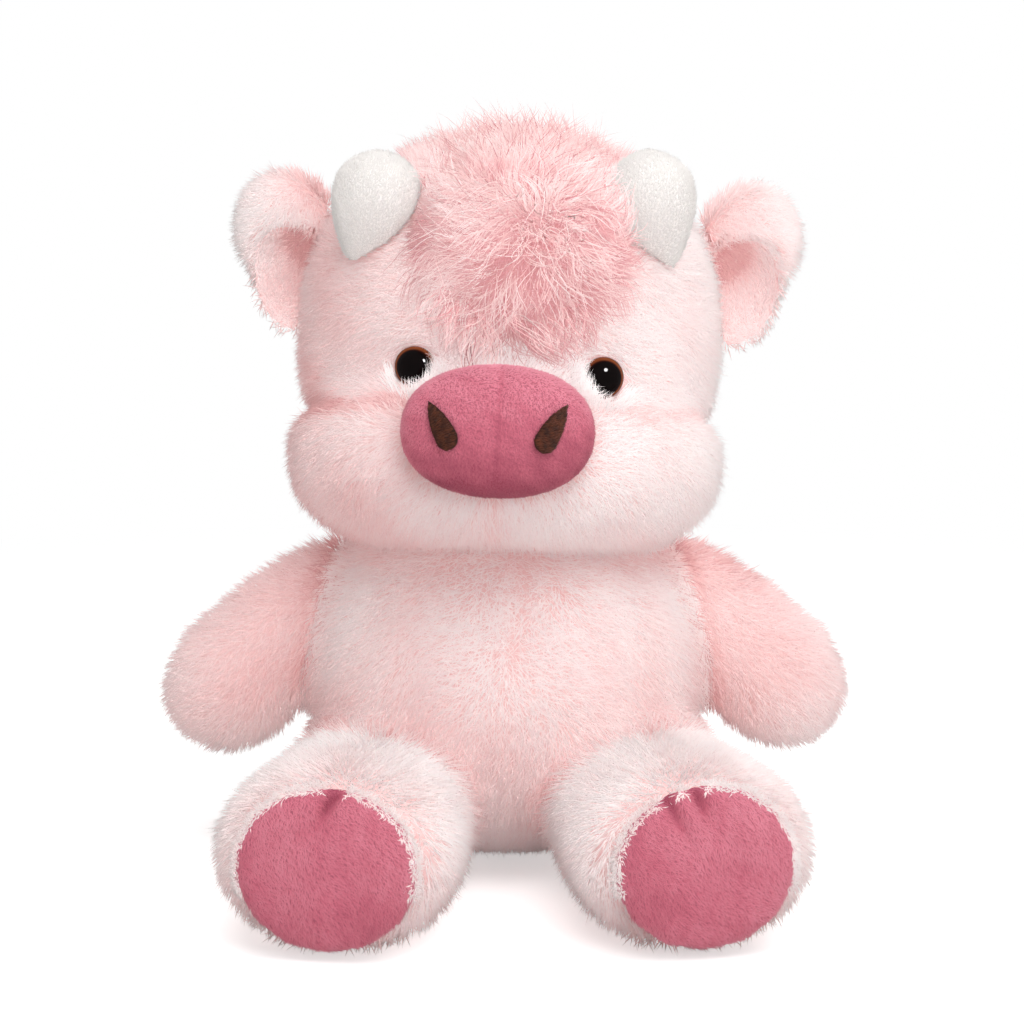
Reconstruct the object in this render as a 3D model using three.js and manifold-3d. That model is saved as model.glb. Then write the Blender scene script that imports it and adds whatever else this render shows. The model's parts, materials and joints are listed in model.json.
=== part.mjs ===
// A sitting plush cow: pile-fabric covers over fibre stuffing, joined by soft sewn joints.
// Millimetres, +Z up. The toy faces -Y, and the origin is the middle of its flat seat.

import * as THREE from "three";
import { mergeVertices } from "three/addons/utils/BufferGeometryUtils.js";
import Module from "manifold-3d";

const wasm = await Module();
wasm.setup();

// Fabric and clearances
const GAP = 0.3; // between pieces that are sewn or stuffed against each other
const COVER = 5; // long-pile fabric: its backing and half of its pile
const SHORT_COVER = 3; // short-pile fabric of the snout and the horns
const FULL_TURN = 2 * Math.PI;

// Torso: a stuffed ball that has settled on its seat
const TORSO_R = 79;
const SEAT_SINK = 5; // how far the ball's foot is pressed flat
const SEAT_BACK = 18; // how far the seat lies behind the belly
const SEAT_BEND = 46; // height where the torso starts to draw back
const SIDE_SEAM_Y = -4;

// Neck and head. The head turns and nods about the neck's middle.
const NECK_R = 24;
const HEAD_YAW = -3; // degrees, as the toy was posed
const HEAD_ROLL = 1.6;
const NOD = 8; // degrees, forwards and backwards
const CRANIUM = { radii: [82, 70, 75], fullness: 2.4, at: [0, 4, 56], tilt: 0 };
const MUZZLE = { radii: [83, 66, 40], fullness: 2.5, at: [0, -21, 11], tilt: -12 };
const FACE_SEAM_Z = 26; // height of the seam above the neck, on the head's axis
const FACE_SEAM_TILT = -9; // degrees, rising to the front

// Snout and its embroidered nostrils
const SNOUT_RADII = [37, 18, 25.5];
const SNOUT_FULLNESS = 2.2;
const SNOUT_RISE = 6.3; // above the muzzle's middle, along its front
const SNOUT_ASIDE = -1.6; // a little uneven, as sewn
const SNOUT_OUT = 1.5; // from the muzzle's front to the snout's middle
const NOSTRIL_LONG = 21;
const NOSTRIL_WIDE = 9;
const NOSTRIL_THICK = 1.4;
const NOSTRIL_AT = [21, 1]; // across and up from the snout's middle
const NOSTRIL_LEAN = 28; // degrees, tops leaning outwards

// Forelock: a thick patch of long pile on the crown
const FORELOCK_RADII = [51, 58, 52];
const FORELOCK_FULLNESS = 2.2;
const FORELOCK_THICK = 9; // on the crown
const FORELOCK_FRONT = 6; // past the forehead
const FORELOCK_SHIFT = 3; // towards the right

// Safety eyes: a domed button, its shank, and a washer inside the cover
const EYE_R = 8;
const EYE_DOME = 5.5;
const EYE_RIM = 1.5;
const EYE_SHANK_R = 2.2;
const EYE_SHANK = 14;
const EYE_SUNK = 2.5; // how deep the button's back sits in the pile
const EYE_AT = { left: [-34.5, 51], right: [37.5, 49] }; // across and up, a little uneven
const WASHER_R = 7;
const WASHER_THICK = 2.5;
const WASHER_GAP = 0.8; // leaves room for the cover's curve under the washer

// Horns
const HORN_R = 18.2;
const HORN_LONG = 56;
const HORN_AT = { left: [-53.8, 76.5], right: [55.5, 79.5] }; // across and up, a little uneven
const HORN_DEPTH = 17; // from the head's front to the horn's axis
const HORN_LEAN_IN = 4; // degrees
const HORN_LEAN_FORWARD = 5;

// Ears: a cupped outer with a paler lining. They flap about their sewn root.
const EAR_OUTER = { radii: [21, 12, 31], fullness: 2.2, at: [14, 0, 0], tilt: 0 };
const EAR_HOLLOW = { radii: [16.5, 11, 22], fullness: 2.2, at: [16.5, -9, -11], tilt: 0 };
const EAR_LINING = 3.5;
const EAR_Y = 6;
const EAR_Z = 92;
const EAR_SUNK = { left: 3.5, right: 0 }; // how deep the root sits in the head's side
const EAR_LEAN = 16; // degrees, tops leaning outwards
const EAR_FLAP = 15; // degrees, each way

// Arms
const SHOULDER_RISE = 29; // degrees above the torso's middle
const SHOULDER_BACK = 4; // degrees behind the torso's side
const ARM_DROP = 46; // degrees below level
const ARM_LONG = 59; // from the shoulder to the middle of the hand
const ARM_ROOT_R = 17;
const HAND_R = 26.5;

// Legs and foot pads. They lift about the top of the sewn hip.
const HIP_TURN = 48; // degrees from the front of the torso
const LEG_SPLAY = 10; // degrees
const LEG_LONG = 110; // from the torso to the sole
const LEG_WIDE = 92;
const LEG_HIGH = 72;
const LEG_SINK = 1.5; // how far the leg is pressed flat on the floor
const LEG_ROOT_SHARE = 0.82; // the thigh's size against the foot's
const LEG_LIFT = 25; // degrees
const PAD_WIDE = 69;
const PAD_HIGH = 63;
const PAD_RIM = 4;
const PAD_DOME = 5;

// Tail
const TAIL_DROP = 8; // degrees below the torso's middle
const TAIL_R = 7.5;
const TAIL_LONG = 34;
const TAIL_LEAN = 22; // degrees away from hanging straight down
const TUFT_R = 12;
const TUFT_LONG = 28;

// Facets: how often a ball's twenty triangles are split, and how many go round a turned piece
const FINE = 3;
const COARSE = 2;
const ROUND = 18;
const LIMB_ROUND = 14;
const BUTTON_ROUND = 10;
const CORE_ROUND = 8;

const TORSO_MIDDLE = new THREE.Vector3(0, 0, TORSO_R - SEAT_SINK);
const NECK = new THREE.Vector3(0, 0, TORSO_MIDDLE.z + TORSO_R + 1);
const BIG = 4 * TORSO_R; // larger than any piece, for cutting by a plane

const SIDES = [
  [-1, "left"],
  [1, "right"],
];
const rad = THREE.MathUtils.degToRad;
const X_AXIS = new THREE.Vector3(1, 0, 0);
const Z_AXIS = new THREE.Vector3(0, 0, 1);

// Solids: booleans on closed geometries

function solidOf(geometry) {
  const bare = geometry.clone();
  bare.deleteAttribute("normal");
  bare.deleteAttribute("uv");
  const merged = mergeVertices(bare, 1e-4);
  return new wasm.Manifold(
    new wasm.Mesh({
      numProp: 3,
      vertProperties: merged.getAttribute("position").array,
      triVerts: new Uint32Array(merged.index.array),
    }),
  );
}

function geometryOf(solid) {
  const mesh = solid.getMesh();
  const geometry = new THREE.BufferGeometry();
  geometry.setAttribute("position", new THREE.BufferAttribute(mesh.vertProperties, 3));
  geometry.setIndex(new THREE.BufferAttribute(mesh.triVerts, 1));
  return geometry;
}

function join(first, ...others) {
  return geometryOf(others.reduce((made, g) => made.add(solidOf(g)), solidOf(first)));
}

function cut(first, ...tools) {
  return geometryOf(tools.reduce((made, g) => made.subtract(solidOf(g)), solidOf(first)));
}

function common(first, ...others) {
  return geometryOf(others.reduce((made, g) => made.intersect(solidOf(g)), solidOf(first)));
}

// A block that fills one side of a plane through a point
function halfSpace(normal, point) {
  const block = new THREE.BoxGeometry(BIG, BIG, BIG).translate(0, 0, BIG / 2);
  const turn = new THREE.Quaternion().setFromUnitVectors(Z_AXIS, normal);
  return block.applyQuaternion(turn).translate(point.x, point.y, point.z);
}

// Forms

// A sphere swollen towards its box: fullness 2 is an ellipsoid, and more is boxier.
function pillow(form, grow, detail) {
  const ball = new THREE.IcosahedronGeometry(1, detail);
  const place = ball.getAttribute("position");
  const p = new THREE.Vector3();
  for (let i = 0; i < place.count; i++) {
    p.fromBufferAttribute(place, i);
    const powers = p.toArray().map((v) => Math.abs(v) ** form.fullness);
    p.divideScalar((powers[0] + powers[1] + powers[2]) ** (1 / form.fullness));
    place.setXYZ(i, ...p.toArray().map((v, k) => v * (form.radii[k] + grow)));
  }
  return ball.rotateX(rad(form.tilt)).translate(...form.at);
}

// Where a line along Y meets a pillow's front, and the outward direction there
function frontOf(form, x, z) {
  const n = form.fullness;
  const [rx, ry, rz] = form.radii;
  const [dx, dz] = [x - form.at[0], z - form.at[2]];
  const share = 1 - Math.abs(dx / rx) ** n - Math.abs(dz / rz) ** n;
  const dy = -ry * share ** (1 / n);
  const slope = (d, r) => (Math.sign(d) * Math.abs(d / r) ** (n - 1)) / r;
  const normal = new THREE.Vector3(slope(dx, rx), slope(dy, ry), slope(dz, rz)).normalize();
  return { point: new THREE.Vector3(x, form.at[1] + dy, z), normal };
}

// Half the width of a pillow at a place on its middle plane
function halfWidth(form, y, z) {
  const n = form.fullness;
  const [rx, ry, rz] = form.radii;
  const share = 1 - Math.abs((y - form.at[1]) / ry) ** n - Math.abs((z - form.at[2]) / rz) ** n;
  return rx * share ** (1 / n);
}

// A profile of (radius, height) points, smoothed and turned about Z
function turned(points, steps, around) {
  const curve = new THREE.SplineCurve(points.map(([r, z]) => new THREE.Vector2(r, z)));
  const profile = curve.getPoints(steps);
  profile.forEach((p) => (p.x = Math.max(p.x, 0)));
  profile[0].x = 0;
  profile[profile.length - 1].x = 0;
  return new THREE.LatheGeometry(profile, around).rotateX(Math.PI / 2);
}

// A profile with sharp corners, turned about Z
function lathed(points, around) {
  const profile = points.map(([r, z]) => new THREE.Vector2(r, z));
  return new THREE.LatheGeometry(profile, around).rotateX(Math.PI / 2);
}

// A ball whose facets all lie outside this radius
function ballAround(radius, detail) {
  const ball = new THREE.IcosahedronGeometry(1, detail);
  const place = ball.getAttribute("position");
  const corners = [0, 1, 2].map(() => new THREE.Vector3());
  let nearest = 1;
  for (let i = 0; i < place.count; i += 3) {
    corners.forEach((c, k) => c.fromBufferAttribute(place, i + k));
    const facet = new THREE.Plane().setFromCoplanarPoints(...corners);
    nearest = Math.min(nearest, Math.abs(facet.constant));
  }
  return ball.scale(radius / nearest, radius / nearest, radius / nearest);
}

// The room that the torso takes up, whichever way a limb turns about its middle
function torsoBall(grow, middle, detail = FINE) {
  return ballAround(TORSO_R + grow, detail).translate(middle.x, middle.y, middle.z);
}

// Where a fixed point lies, seen from a piece that turns about an axis through the pivot
function seenFrom(point, pivot, axis, degrees) {
  return point.clone().sub(pivot).applyAxisAngle(axis, -rad(degrees)).add(pivot);
}

function steps(from, to, count) {
  return Array.from({ length: count + 1 }, (_, i) => from + ((to - from) * i) / count);
}

// Finishes

function finish(color, roughness, metalness = 0) {
  return new THREE.MeshStandardMaterial({ color, roughness, metalness });
}

const PALE_PILE = finish("#f3d6d6", 0.95);
const PINK_PILE = finish("#eebcbd", 0.95);
const WHITE_PLUSH = finish("#f4f2ef", 0.9);
const ROSE_PLUSH = finish("#bf5a76", 0.85);
const THREAD = finish("#4a2018", 0.7);
const EYE_PLASTIC = finish("#1a0d09", 0.08);
const WASHER_PLASTIC = finish("#e8e6e0", 0.45);
const FIBRE = finish("#faf8f5", 1);

function piece(parent, name, geometry, material) {
  const mesh = new THREE.Mesh(geometry, material);
  mesh.name = name;
  geometry.computeVertexNormals();
  parent.add(mesh);
}

function frame(parent, position) {
  const group = new THREE.Group();
  group.position.copy(position);
  parent.add(group);
  return group;
}

const cow = new THREE.Group();

// Torso

// A ball pressed flat at its foot, and drawn back towards it
function torsoForm(inset, around) {
  const r = TORSO_R - inset;
  const foot = THREE.MathUtils.radToDeg(Math.asin((inset - TORSO_MIDDLE.z) / r));
  const profile = steps(foot, 90, around / 2).map((degrees) => {
    const a = rad(degrees);
    return [r * Math.cos(a), TORSO_MIDDLE.z + r * Math.sin(a)];
  });
  profile.unshift([0, inset]);
  profile[profile.length - 1][0] = 0;
  const form = lathed(profile, around);
  const place = form.getAttribute("position");
  for (let i = 0; i < place.count; i++) {
    const depth = Math.max(1 - place.getZ(i) / SEAT_BEND, 0);
    place.setY(i, place.getY(i) + SEAT_BACK * depth ** 2);
  }
  return form;
}

function neckRoom() {
  return ballAround(NECK_R + GAP, COARSE);
}

function addTorso() {
  const neck = neckRoom().translate(NECK.x, NECK.y, NECK.z);
  const cover = cut(torsoForm(0, ROUND), torsoForm(COVER, LIMB_ROUND), neck);
  const back = halfSpace(new THREE.Vector3(0, 1, 0), new THREE.Vector3(0, SIDE_SEAM_Y + GAP / 2, 0));
  const front = halfSpace(new THREE.Vector3(0, -1, 0), new THREE.Vector3(0, SIDE_SEAM_Y - GAP / 2, 0));
  piece(cow, "torso_back_panel", common(cover, back), PALE_PILE);
  for (const [side, name] of SIDES) {
    const half = halfSpace(new THREE.Vector3(side, 0, 0), new THREE.Vector3((side * GAP) / 2, 0, 0));
    piece(cow, `torso_front_${name}_panel`, common(cover, front, half), PALE_PILE);
  }
  piece(cow, "torso_stuffing", cut(torsoForm(COVER + GAP, LIMB_ROUND), neck), FIBRE);
  piece(frame(cow, NECK), "neck_stuffing", new THREE.IcosahedronGeometry(NECK_R, COARSE), FIBRE);
}

// Head: everything here is in the head's own frame, with the neck's middle at its origin

const head = frame(cow, NECK);
head.rotation.set(0, rad(HEAD_ROLL), rad(HEAD_YAW));
head.updateMatrixWorld(true);

// The torso as the head meets it through its nod
function torsoUnderHead(grow, detail) {
  const middle = head.worldToLocal(TORSO_MIDDLE.clone());
  const origin = new THREE.Vector3();
  return steps(-NOD, NOD, 2).map((a) => torsoBall(grow, seenFrom(middle, origin, X_AXIS, a), detail));
}

function headForm(grow, around) {
  return join(pillow(CRANIUM, grow, around), pillow(MUZZLE, grow, around));
}

function eyeFrame(name) {
  const { point, normal } = frontOf(CRANIUM, ...EYE_AT[name]);
  const eye = frame(head, point.addScaledVector(normal, -EYE_SUNK));
  eye.quaternion.setFromUnitVectors(Z_AXIS, normal);
  eye.updateMatrix();
  return eye;
}

function eyeForm(grow) {
  const dome = steps(0, 90, 3).map((a) => [
    (EYE_R + grow) * Math.cos(rad(a)),
    EYE_RIM + (EYE_DOME + grow) * Math.sin(rad(a)),
  ]);
  dome[dome.length - 1][0] = 0;
  const shank = EYE_SHANK_R + grow;
  const back = [
    [0, -EYE_SHANK - grow],
    [shank, -EYE_SHANK - grow],
    [shank, -grow],
    [EYE_R + grow, -grow],
  ];
  return lathed([...back, ...dome], BUTTON_ROUND);
}

function washerForm(grow) {
  const bore = EYE_SHANK_R + GAP;
  const top = EYE_SUNK - COVER - WASHER_GAP + grow;
  const foot = top - WASHER_THICK - 2 * grow;
  const outer = WASHER_R + grow;
  const inner = grow > 0 ? 0 : bore;
  const ring = [
    [inner, foot],
    [outer, foot],
    [outer, top],
    [inner, top],
  ];
  return lathed(grow > 0 ? ring : [...ring, ring[0]], BUTTON_ROUND);
}

function addEyes() {
  const pockets = [];
  const washerRooms = [];
  for (const [, name] of SIDES) {
    const eye = eyeFrame(name);
    piece(eye, `${name}_eye`, eyeForm(0), EYE_PLASTIC);
    piece(eye, `${name}_eye_washer`, washerForm(0), WASHER_PLASTIC);
    pockets.push(eyeForm(GAP).applyMatrix4(eye.matrix));
    washerRooms.push(washerForm(GAP).applyMatrix4(eye.matrix));
  }
  return { pockets, washerRooms };
}

function addHead({ pockets, washerRooms }) {
  const neck = neckRoom();
  const filled = cut(headForm(-COVER, COARSE), ...torsoUnderHead(GAP + COVER, COARSE));
  const hollows = [...torsoUnderHead(GAP, FINE), filled, neck, ...pockets, ...washerRooms];
  const cover = cut(headForm(0, FINE), ...hollows);
  const up = new THREE.Vector3(0, 0, 1).applyAxisAngle(X_AXIS, rad(FACE_SEAM_TILT));
  const seam = new THREE.Vector3(0, 0, FACE_SEAM_Z);
  const above = halfSpace(up, seam.clone().addScaledVector(up, GAP / 2));
  const below = halfSpace(up.clone().negate(), seam.clone().addScaledVector(up, -GAP / 2));
  piece(head, "head_cover", common(cover, above), PALE_PILE);
  for (const [side, name] of SIDES) {
    const half = halfSpace(new THREE.Vector3(side, 0, 0), new THREE.Vector3((side * GAP) / 2, 0, 0));
    piece(head, `muzzle_${name}_panel`, common(cover, below, half), PALE_PILE);
  }
  const under = torsoUnderHead(2 * GAP + COVER, COARSE);
  const core = cut(headForm(-COVER - GAP, COARSE), ...under, neck, ...pockets, ...washerRooms);
  piece(head, "head_stuffing", core, FIBRE);
}

// Snout: it stands on the front of the muzzle, and leans with it

const snoutPlace = new THREE.Vector3(SNOUT_ASIDE, -MUZZLE.radii[1] - SNOUT_OUT, SNOUT_RISE)
  .applyAxisAngle(X_AXIS, rad(MUZZLE.tilt))
  .add(new THREE.Vector3(...MUZZLE.at));
const SNOUT = {
  radii: SNOUT_RADII,
  fullness: SNOUT_FULLNESS,
  at: snoutPlace.toArray(),
  tilt: MUZZLE.tilt,
};

function addSnout() {
  const face = pillow(MUZZLE, GAP, FINE);
  const outer = cut(pillow(SNOUT, 0, FINE), face);
  piece(head, "snout_cover", cut(outer, pillow(SNOUT, -SHORT_COVER, COARSE)), ROSE_PLUSH);
  piece(head, "snout_stuffing", cut(pillow(SNOUT, -SHORT_COVER - GAP, COARSE), face), FIBRE);
}

// A teardrop outline, round at its foot and pointed at its top
function teardrop(long, wide) {
  const r = wide / 2;
  const shape = new THREE.Shape();
  shape.absarc(0, r - long / 2, r, Math.PI, FULL_TURN);
  shape.quadraticCurveTo(r, long / 6, 0, long / 2);
  shape.quadraticCurveTo(-r, long / 6, -r, r - long / 2);
  return shape;
}

function addNostrils() {
  const skin = cut(pillow(SNOUT, GAP + NOSTRIL_THICK, FINE), pillow(SNOUT, GAP, FINE));
  for (const [side, name] of SIDES) {
    const depth = 2 * SNOUT.radii[1];
    const prism = new THREE.ExtrudeGeometry(teardrop(NOSTRIL_LONG, NOSTRIL_WIDE), {
      depth,
      bevelEnabled: false,
      curveSegments: 4,
    });
    prism.rotateX(Math.PI / 2).rotateY(side * rad(NOSTRIL_LEAN));
    prism.translate(side * NOSTRIL_AT[0], 0, NOSTRIL_AT[1]);
    prism.rotateX(rad(SNOUT.tilt)).translate(...SNOUT.at);
    piece(head, `${name}_nostril`, common(skin, prism), THREAD);
  }
}

// Horns

function hornForm(inset) {
  const r = HORN_R - inset;
  const top = HORN_LONG - inset;
  const profile = [
    [0, 0],
    [0.38 * r, 0.01 * top],
    [0.66 * r, 0.25 * top],
    [0.92 * r, 0.48 * top],
    [r, 0.66 * top],
    [0.8 * r, 0.88 * top],
    [0, top],
  ];
  return turned(profile, 9, inset > 0 ? CORE_ROUND : BUTTON_ROUND + 2);
}

function hornFrame(side, name) {
  const { point } = frontOf(CRANIUM, ...HORN_AT[name]);
  const horn = frame(head, point.add(new THREE.Vector3(0, HORN_DEPTH, 0)));
  horn.rotation.set(rad(HORN_LEAN_FORWARD), -side * rad(HORN_LEAN_IN), 0);
  horn.updateMatrix();
  return horn;
}

function inFrame(group, geometry) {
  return geometry.applyMatrix4(group.matrix.clone().invert());
}

function addHorns() {
  const rooms = [];
  for (const [side, name] of SIDES) {
    const horn = hornFrame(side, name);
    const crown = inFrame(horn, pillow(CRANIUM, GAP, FINE));
    const cover = cut(hornForm(0), hornForm(SHORT_COVER), crown);
    piece(horn, `${name}_horn_cover`, cover, WHITE_PLUSH);
    piece(horn, `${name}_horn_stuffing`, cut(hornForm(SHORT_COVER + GAP), crown), FIBRE);
    rooms.push(hornForm(-GAP).applyMatrix4(horn.matrix));
  }
  return rooms;
}

function addForelock(rooms) {
  const front = CRANIUM.at[1] - CRANIUM.radii[1] - FORELOCK_FRONT;
  const top = CRANIUM.at[2] + CRANIUM.radii[2] + FORELOCK_THICK;
  const form = {
    radii: FORELOCK_RADII,
    fullness: FORELOCK_FULLNESS,
    at: [FORELOCK_SHIFT, front + FORELOCK_RADII[1], top - FORELOCK_RADII[2]],
    tilt: CRANIUM.tilt,
  };
  const patch = cut(pillow(form, 0, FINE), pillow(CRANIUM, GAP, FINE), ...rooms);
  piece(head, "forelock", patch, PINK_PILE);
}

// Ears

function addEar(side, name) {
  const root = halfWidth(CRANIUM, EAR_Y, EAR_Z) - EAR_SUNK[name];
  const ear = frame(head, new THREE.Vector3(side * root, EAR_Y, EAR_Z));
  ear.rotation.set(0, side * rad(EAR_LEAN), 0);
  ear.updateMatrix();
  const mirrored = (form) => ({ ...form, at: [side * form.at[0], form.at[1], form.at[2]] });
  const crown = inFrame(ear, pillow(CRANIUM, GAP, FINE));
  const crowns = steps(-EAR_FLAP, EAR_FLAP, 2).map((a) => crown.clone().rotateZ(-rad(a)));
  const hollow = mirrored(EAR_HOLLOW);
  const opened = { ...hollow, at: [hollow.at[0], hollow.at[1] - EAR_LINING, hollow.at[2]] };
  const outer = cut(pillow(mirrored(EAR_OUTER), 0, COARSE), pillow(hollow, 0, COARSE), ...crowns);
  const lining = cut(pillow(hollow, -GAP, COARSE), pillow(opened, 0, COARSE), ...crowns);
  piece(ear, `${name}_ear_outer`, outer, PINK_PILE);
  piece(ear, `${name}_ear_lining`, lining, WHITE_PLUSH);
}

// Arms: each swings about the line from the torso's middle through its shoulder

function shoulder(side) {
  const [rise, back] = [rad(SHOULDER_RISE), rad(SHOULDER_BACK)];
  const level = Math.cos(rise);
  const out = new THREE.Vector3(side * level * Math.cos(back), level * Math.sin(back), Math.sin(rise));
  return TORSO_MIDDLE.clone().addScaledVector(out, TORSO_R);
}

function armForm(inset, around) {
  const [root, hand] = [ARM_ROOT_R - inset, HAND_R - inset];
  const end = ARM_LONG + hand;
  const profile = [
    [0, -root],
    [0.8 * root, -0.6 * root],
    [root, 0],
    [root + 0.62 * (hand - root), 0.36 * ARM_LONG],
    [0.96 * hand, 0.74 * ARM_LONG],
    [hand, ARM_LONG],
    [0.77 * hand, ARM_LONG + 0.64 * hand],
    [0.4 * hand, ARM_LONG + 0.92 * hand],
    [0, end],
  ];
  return turned(profile, Math.ceil(0.7 * around), around);
}

function addArm(side, name) {
  const arm = frame(cow, shoulder(side));
  const drop = rad(ARM_DROP);
  const along = new THREE.Vector3(side * Math.cos(drop), 0, -Math.sin(drop));
  arm.quaternion.setFromUnitVectors(Z_AXIS, along);
  arm.updateMatrix();
  const torso = inFrame(arm, torsoBall(GAP, TORSO_MIDDLE));
  const cover = cut(armForm(0, LIMB_ROUND), armForm(COVER, CORE_ROUND), torso);
  piece(arm, `${name}_arm_cover`, cover, PINK_PILE);
  piece(arm, `${name}_arm_stuffing`, cut(armForm(COVER + GAP, CORE_ROUND), torso), FIBRE);
}

// Legs: the leg's own Z runs to the sole, its X is level and its Y is up

function legForm(inset, around) {
  const long = LEG_LONG - inset;
  const thigh = LEG_ROOT_SHARE;
  const profile = [
    [0, -0.5 * LEG_LONG],
    [0.7 * thigh, -0.45 * LEG_LONG],
    [thigh, -0.2 * LEG_LONG],
    [0.9, 0.3 * long],
    [1, 0.66 * long],
    [0.93, 0.86 * long],
    [0.62, 0.98 * long],
    [0, long],
  ];
  const form = turned(profile, Math.ceil(0.75 * around), around);
  return form.scale(LEG_WIDE / 2 - inset, LEG_HIGH / 2 - inset, 1);
}

function padForm(grow) {
  const rim = LEG_LONG - PAD_RIM;
  const back = rim - PAD_RIM;
  const high = PAD_DOME + PAD_RIM / 2;
  const dome = steps(0, 90, 3).map((a) => [Math.cos(rad(a)), rim + high * Math.sin(rad(a))]);
  dome[dome.length - 1][0] = 0;
  const profile = [[0, back - grow], [1, back - grow], ...dome];
  return lathed(profile, LIMB_ROUND).scale(PAD_WIDE / 2 + grow, PAD_HIGH / 2 + grow, 1);
}

function addLeg(side, name) {
  const level = LEG_HIGH / 2 - LEG_SINK;
  const out = Math.sqrt(TORSO_R ** 2 - (TORSO_MIDDLE.z - level) ** 2);
  const turn = rad(HIP_TURN);
  const splay = rad(LEG_SPLAY);
  const hip = new THREE.Vector3(side * out * Math.sin(turn), -out * Math.cos(turn), level);
  const leg = frame(cow, hip);
  const along = new THREE.Vector3(side * Math.sin(splay), -Math.cos(splay), 0);
  const across = new THREE.Vector3(Math.cos(splay), side * Math.sin(splay), 0);
  leg.setRotationFromMatrix(new THREE.Matrix4().makeBasis(across, Z_AXIS, along));
  leg.updateMatrix();
  const height = level + (LEG_ROOT_SHARE * LEG_HIGH) / 2;
  const depth = Math.sqrt(TORSO_R ** 2 - hip.x ** 2 - (height - TORSO_MIDDLE.z) ** 2);
  const pivot = new THREE.Vector3(hip.x, -depth, height);
  const lifted = steps(0, -LEG_LIFT, 3).map((a) => seenFrom(TORSO_MIDDLE, pivot, X_AXIS, a));
  const tools = lifted.map((middle) => inFrame(leg, torsoBall(GAP, middle)));
  const floor = halfSpace(new THREE.Vector3(0, 0, -1), new THREE.Vector3(0, 0, 0));
  tools.push(inFrame(leg, floor));
  const sole = padForm(GAP);
  const cover = cut(legForm(0, LIMB_ROUND), legForm(COVER, CORE_ROUND), sole, ...tools);
  piece(leg, `${name}_leg_cover`, cover, PALE_PILE);
  piece(leg, `${name}_leg_stuffing`, cut(legForm(COVER + GAP, CORE_ROUND), sole, ...tools), FIBRE);
  piece(leg, `${name}_foot_pad`, padForm(0), ROSE_PLUSH);
}

// Tail: it wags about the line from the torso's middle through its root

function addTail() {
  const drop = rad(TAIL_DROP);
  const out = new THREE.Vector3(0, Math.cos(drop), -Math.sin(drop));
  const tail = frame(cow, TORSO_MIDDLE.clone().addScaledVector(out, TORSO_R));
  tail.rotation.set(Math.PI + rad(TAIL_LEAN), 0, 0);
  tail.updateMatrix();
  const sleeve = turned(
    [
      [0, -TAIL_R],
      [0.9 * TAIL_R, -0.6 * TAIL_R],
      [TAIL_R, 0.3 * TAIL_LONG],
      [0.8 * TAIL_R, 0.9 * TAIL_LONG],
      [0.6 * TAIL_R, TAIL_LONG],
      [0, TAIL_LONG],
    ],
    7,
    CORE_ROUND,
  );
  const tuft = turned(
    [
      [0, 0],
      [0.75 * TUFT_R, 0.16 * TUFT_LONG],
      [TUFT_R, 0.45 * TUFT_LONG],
      [0.6 * TUFT_R, 0.82 * TUFT_LONG],
      [0, TUFT_LONG],
    ],
    7,
    CORE_ROUND,
  ).translate(0, 0, TAIL_LONG + GAP);
  const torso = inFrame(tail, torsoBall(GAP, TORSO_MIDDLE));
  piece(tail, "tail_sleeve", cut(sleeve, torso), PALE_PILE);
  piece(tail, "tail_tuft", cut(tuft, torso), PINK_PILE);
}

addTorso();
addHead(addEyes());
addSnout();
addNostrils();
addForelock(addHorns());
for (const [side, name] of SIDES) {
  addEar(side, name);
  addArm(side, name);
  addLeg(side, name);
}
addTail();

export default cow;
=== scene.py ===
# %% [markdown]
# # A sitting plush cow
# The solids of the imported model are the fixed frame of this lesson: they say where every
# panel, eye and horn sits. Blender adds what the solids leave out, which on a plush toy is
# nearly all that anyone sees: the pile, the velour, the stitching and the gloss of the eyes.

# %% Load the frame
import json
import math

import bmesh
import bpy
import numpy as np
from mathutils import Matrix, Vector
from mathutils.bvhtree import BVHTree


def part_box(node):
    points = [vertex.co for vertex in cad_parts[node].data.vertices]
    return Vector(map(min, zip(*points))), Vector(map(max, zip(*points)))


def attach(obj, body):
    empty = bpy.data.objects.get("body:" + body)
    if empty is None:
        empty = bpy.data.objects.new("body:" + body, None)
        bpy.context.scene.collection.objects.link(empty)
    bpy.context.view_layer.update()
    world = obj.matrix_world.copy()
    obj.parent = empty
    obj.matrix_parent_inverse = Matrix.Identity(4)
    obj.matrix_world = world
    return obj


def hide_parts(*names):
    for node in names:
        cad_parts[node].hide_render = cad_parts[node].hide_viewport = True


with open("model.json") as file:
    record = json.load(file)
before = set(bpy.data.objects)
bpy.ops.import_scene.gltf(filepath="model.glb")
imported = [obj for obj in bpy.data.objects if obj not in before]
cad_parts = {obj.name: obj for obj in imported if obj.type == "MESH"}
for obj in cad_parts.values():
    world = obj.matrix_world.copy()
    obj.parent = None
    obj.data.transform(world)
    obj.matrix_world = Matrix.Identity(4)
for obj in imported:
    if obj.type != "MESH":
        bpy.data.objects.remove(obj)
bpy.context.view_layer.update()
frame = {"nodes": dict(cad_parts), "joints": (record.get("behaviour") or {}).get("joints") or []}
MM = 0.001
SIDES = ("left", "right")
UP = np.array([0, 0, 1.0])

# %% [markdown]
# ## The camera
# The toy was photographed from about a metre and a half away, a little from above. A long
# lens at that distance gives the same mild perspective, in which the feet look large.

# %% Camera
AIM = Vector((2.4, 0, 139.7)) * MM
DISTANCE = 1480 * MM
RISE = math.radians(10)
TURN = math.radians(-1.5)
LENS, SENSOR = 130.75, 36

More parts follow.
